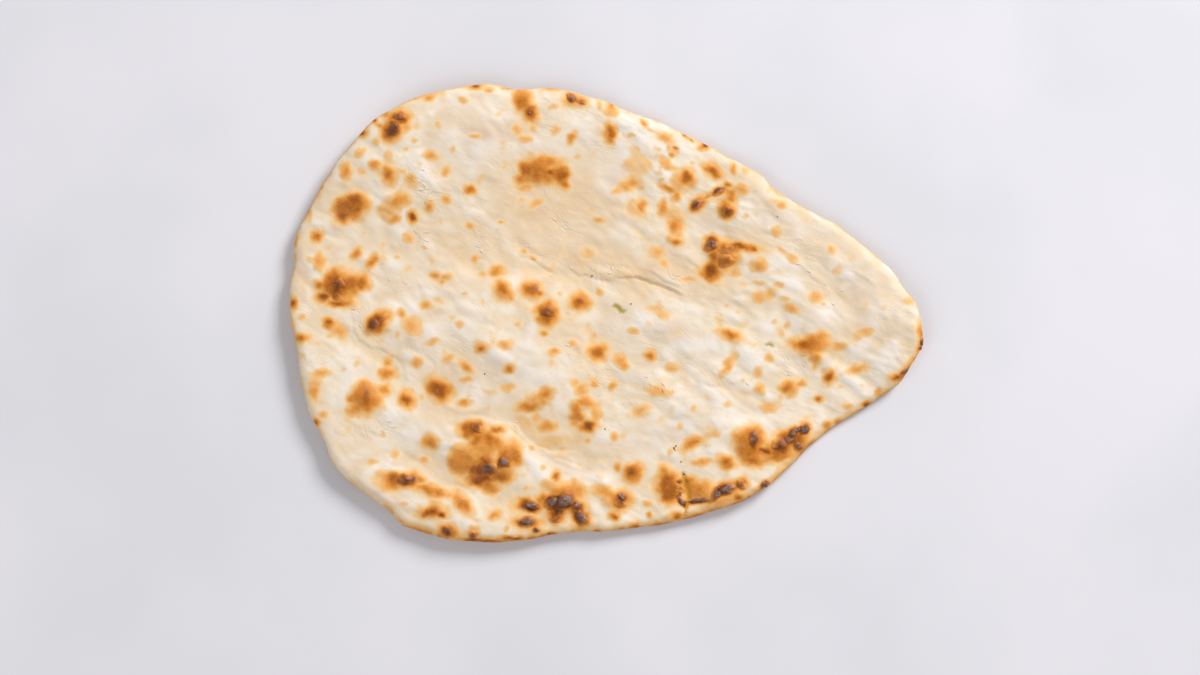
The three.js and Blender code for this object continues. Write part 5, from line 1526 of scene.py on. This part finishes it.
def speck_chip():
    """A rough crumb of char under 1 mm across."""
    points = [(0, 0, 0.3), (0.42, 0.05, 0.05), (0.08, 0.3, 0), (-0.36, 0.1, 0.08), (-0.05, -0.33, 0.02),
              (0, 0, -0.2)]
    faces = []
    for corner in range(4):
        here, after = 1 + corner, 1 + (corner + 1) % 4
        faces += [(0, here, after), (5, after, here)]
    return chip_object("speck_chip", points, faces)


def live_output(node):
    """The one output that a node's settings leave switched on."""
    return next(socket for socket in node.outputs if socket.enabled)


def scatter_tree(name, chip, material, mask):
    """Copies of a chip, turned and sized at random: over a mask, or on each point without one."""
    tree = bpy.data.node_groups.new(name, "GeometryNodeTree")
    face = tree.interface
    face.new_socket("Ground", in_out="INPUT", socket_type="NodeSocketGeometry")
    for label in ("Gap", "Thickness of Cover", "Smallest", "Largest", "Heading", "Spread"):
        face.new_socket(label, in_out="INPUT", socket_type="NodeSocketFloat")
    face.new_socket("Seed", in_out="INPUT", socket_type="NodeSocketInt")
    face.new_socket("Pieces", in_out="OUTPUT", socket_type="NodeSocketGeometry")
    nodes, links = tree.nodes, tree.links
    start, end = nodes.new("NodeGroupInput"), nodes.new("NodeGroupOutput")
    copies = nodes.new("GeometryNodeInstanceOnPoints")
    turn = nodes.new("FunctionNodeRandomValue")
    for operation, bound in (("SUBTRACT", "Min"), ("ADD", "Max")):
        limit = add_math(tree, operation, start.outputs["Heading"], start.outputs["Spread"])
        links.new(limit, turn.inputs[bound])
    heading = nodes.new("FunctionNodeAxisAngleToRotation")
    heading.inputs["Axis"].default_value = (0, 0, 1)
    links.new(live_output(turn), heading.inputs["Angle"])
    rotation = heading.outputs["Rotation"]
    if mask:
        cover = nodes.new("GeometryNodeInputNamedAttribute")
        cover.data_type = "FLOAT"
        cover.inputs["Name"].default_value = mask
        spread = nodes.new("GeometryNodeDistributePointsOnFaces")
        spread.distribute_method = "POISSON"
        links.new(start.outputs["Ground"], spread.inputs["Mesh"])
        links.new(start.outputs["Gap"], spread.inputs["Distance Min"])
        links.new(start.outputs["Thickness of Cover"], spread.inputs["Density Max"])
        links.new(live_output(cover), spread.inputs["Density Factor"])
        links.new(start.outputs["Seed"], spread.inputs["Seed"])
        links.new(spread.outputs["Points"], copies.inputs["Points"])
        upright = nodes.new("FunctionNodeAlignRotationToVector")
        upright.axis = "Z"
        links.new(rotation, upright.inputs["Rotation"])
        links.new(spread.outputs["Normal"], upright.inputs["Vector"])
        rotation = upright.outputs["Rotation"]
    else:
        links.new(start.outputs["Ground"], copies.inputs["Points"])
    source = nodes.new("GeometryNodeObjectInfo")
    source.inputs["Object"].default_value = chip
    size = nodes.new("FunctionNodeRandomValue")
    for label, bound in (("Min", "Smallest"), ("Max", "Largest")):
        links.new(start.outputs[bound], size.inputs[label])
    for draw, number in ((turn, 1), (size, 2)):
        links.new(add_math(tree, "ADD", start.outputs["Seed"], number), draw.inputs["Seed"])
    links.new(source.outputs["Geometry"], copies.inputs["Instance"])
    links.new(rotation, copies.inputs["Rotation"])
    links.new(live_output(size), copies.inputs["Scale"])
    real = nodes.new("GeometryNodeRealizeInstances")
    smooth = nodes.new("GeometryNodeSetShadeSmooth")
    coat = nodes.new("GeometryNodeSetMaterial")
    coat.inputs["Material"].default_value = material
    links.new(copies.outputs["Instances"], real.inputs["Geometry"])
    links.new(real.outputs["Geometry"], smooth.inputs["Geometry"])
    links.new(smooth.outputs["Geometry"], coat.inputs["Geometry"])
    links.new(coat.outputs["Geometry"], end.inputs["Pieces"])
    return tree


def scatter(name, ground_mesh, chip, material, mask=None, **values):
    """A plain mesh piece made of scattered copies of a chip."""
    tree = scatter_tree(name, chip, material, mask)
    maker = add_object(name + "_maker", ground_mesh)
    modifier = maker.modifiers.new("scatter", "NODES")
    modifier.node_group = tree
    for item in tree.interface.items_tree:
        key = item.name.lower().replace(" ", "_")
        if item.in_out == "INPUT" and key in values:
            modifier[item.identifier] = values[key]
    seen = maker.evaluated_get(bpy.context.evaluated_depsgraph_get())
    piece = add_object(name, bpy.data.meshes.new_from_object(seen))
    for helper in (maker, chip):
        bpy.data.objects.remove(helper)
    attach(piece, "root")
    return piece


def speck_places():
    """A mesh of bare points on the crust, one for each speck."""
    x, y = np.array(SPECKS, float).T
    z = top_height(x, y, np.full(x.shape, 2 * RIM_ROUND_ABOVE))
    mesh = bpy.data.meshes.new("speck_places")
    mesh.from_pydata([tuple(size * MM for size in point) for point in zip(x, y, z)], [], [])
    return mesh


# ---- stage, light and camera, in metres ---------------------------------------------------------
FLOOR_SIZE = 6
CAMERA_PLACE = (-0.003, -0.012)
FRAME_WIDTH = 0.6  # what the camera takes in at the height of the dough
LENS, SENSOR = 70, 36  # these two in millimetres
# Lights that look at the middle of the bread: place, size, power, colour
WINDOW_LIGHT = ((1.36, 1.5, 1.36), 0.95, 56.8, (0.992, 0.985, 0.985))
FILL_LIGHT = ((-1.1, -1.0, 1.5), 1.8, 13.4, (1.0, 0.985, 0.97))
ROOM_COLOUR, ROOM_LIGHT = (0.985, 0.98, 1.0, 1), 0.346


def add_floor():
    bpy.ops.mesh.primitive_plane_add(size=FLOOR_SIZE, location=(0, 0, 0))
    floor = bpy.context.object
    floor.name = "floor"
    floor.data.materials.append(floor_material())


def add_light(name, place, size, power, colour):
    light = bpy.data.lights.new(name, "AREA")
    light.shape = "DISK"
    light.size = size
    light.energy = power
    light.color = colour
    lamp = add_object(name, light)
    lamp.location = place
    x, y, z = place
    lamp.rotation_euler = (math.atan2(math.hypot(x, y), z), 0, math.atan2(-y, -x) - math.pi / 2)


def add_room():
    world = bpy.data.worlds.new("soft_room")
    world.use_nodes = True
    background = world.node_tree.nodes["Background"]
    background.inputs["Color"].default_value = ROOM_COLOUR
    background.inputs["Strength"].default_value = ROOM_LIGHT
    bpy.context.scene.world = world


def add_camera():
    camera = add_object("camera", bpy.data.cameras.new("camera"))
    camera.data.lens = LENS
    camera.data.sensor_width = SENSOR
    distance = FRAME_WIDTH * LENS / SENSOR
    camera.location = (CAMERA_PLACE[0], CAMERA_PLACE[1], DOUGH_THICKNESS * MM + distance)
    camera.rotation_euler = (0, 0, 0)
    bpy.context.scene.camera = camera


# ---- the pieces, in the order that they are made ------------------------------------------------
bread = make_bread()
browning = toast_group()
bread.data.materials.append(crust_material(browning))
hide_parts("naan")
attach(bread, "root")

burnt = blister_material(browning)
bubbles = make_bubbles()
bubbles.data.materials.append(burnt)
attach(bubbles, "root")

ANY_WAY = 3.1  # a spread of headings, in radians, that is nearly all the way round
scatter("char_blisters", bread.data, blister_chip(), burnt, "char", gap=1.5 * MM, thickness_of_cover=5e5,
        smallest=0.35, largest=0.8, heading=0.0, spread=ANY_WAY, seed=5)
scatter("skin_flakes", bread.data, flake_chip(), flake_material(browning), "flaky", gap=2.6 * MM,
        thickness_of_cover=7e4, smallest=0.6, largest=1.5, heading=STRETCH_TURN, spread=0.7, seed=8)
scatter("char_specks", speck_places(), speck_chip(), speck_material(),
        smallest=0.9, largest=1.7, heading=0.0, spread=ANY_WAY, seed=3)

add_floor()
add_light("window", *WINDOW_LIGHT)
add_light("fill", *FILL_LIGHT)
add_room()
add_camera()
bpy.context.scene.view_settings.view_transform = "Standard"
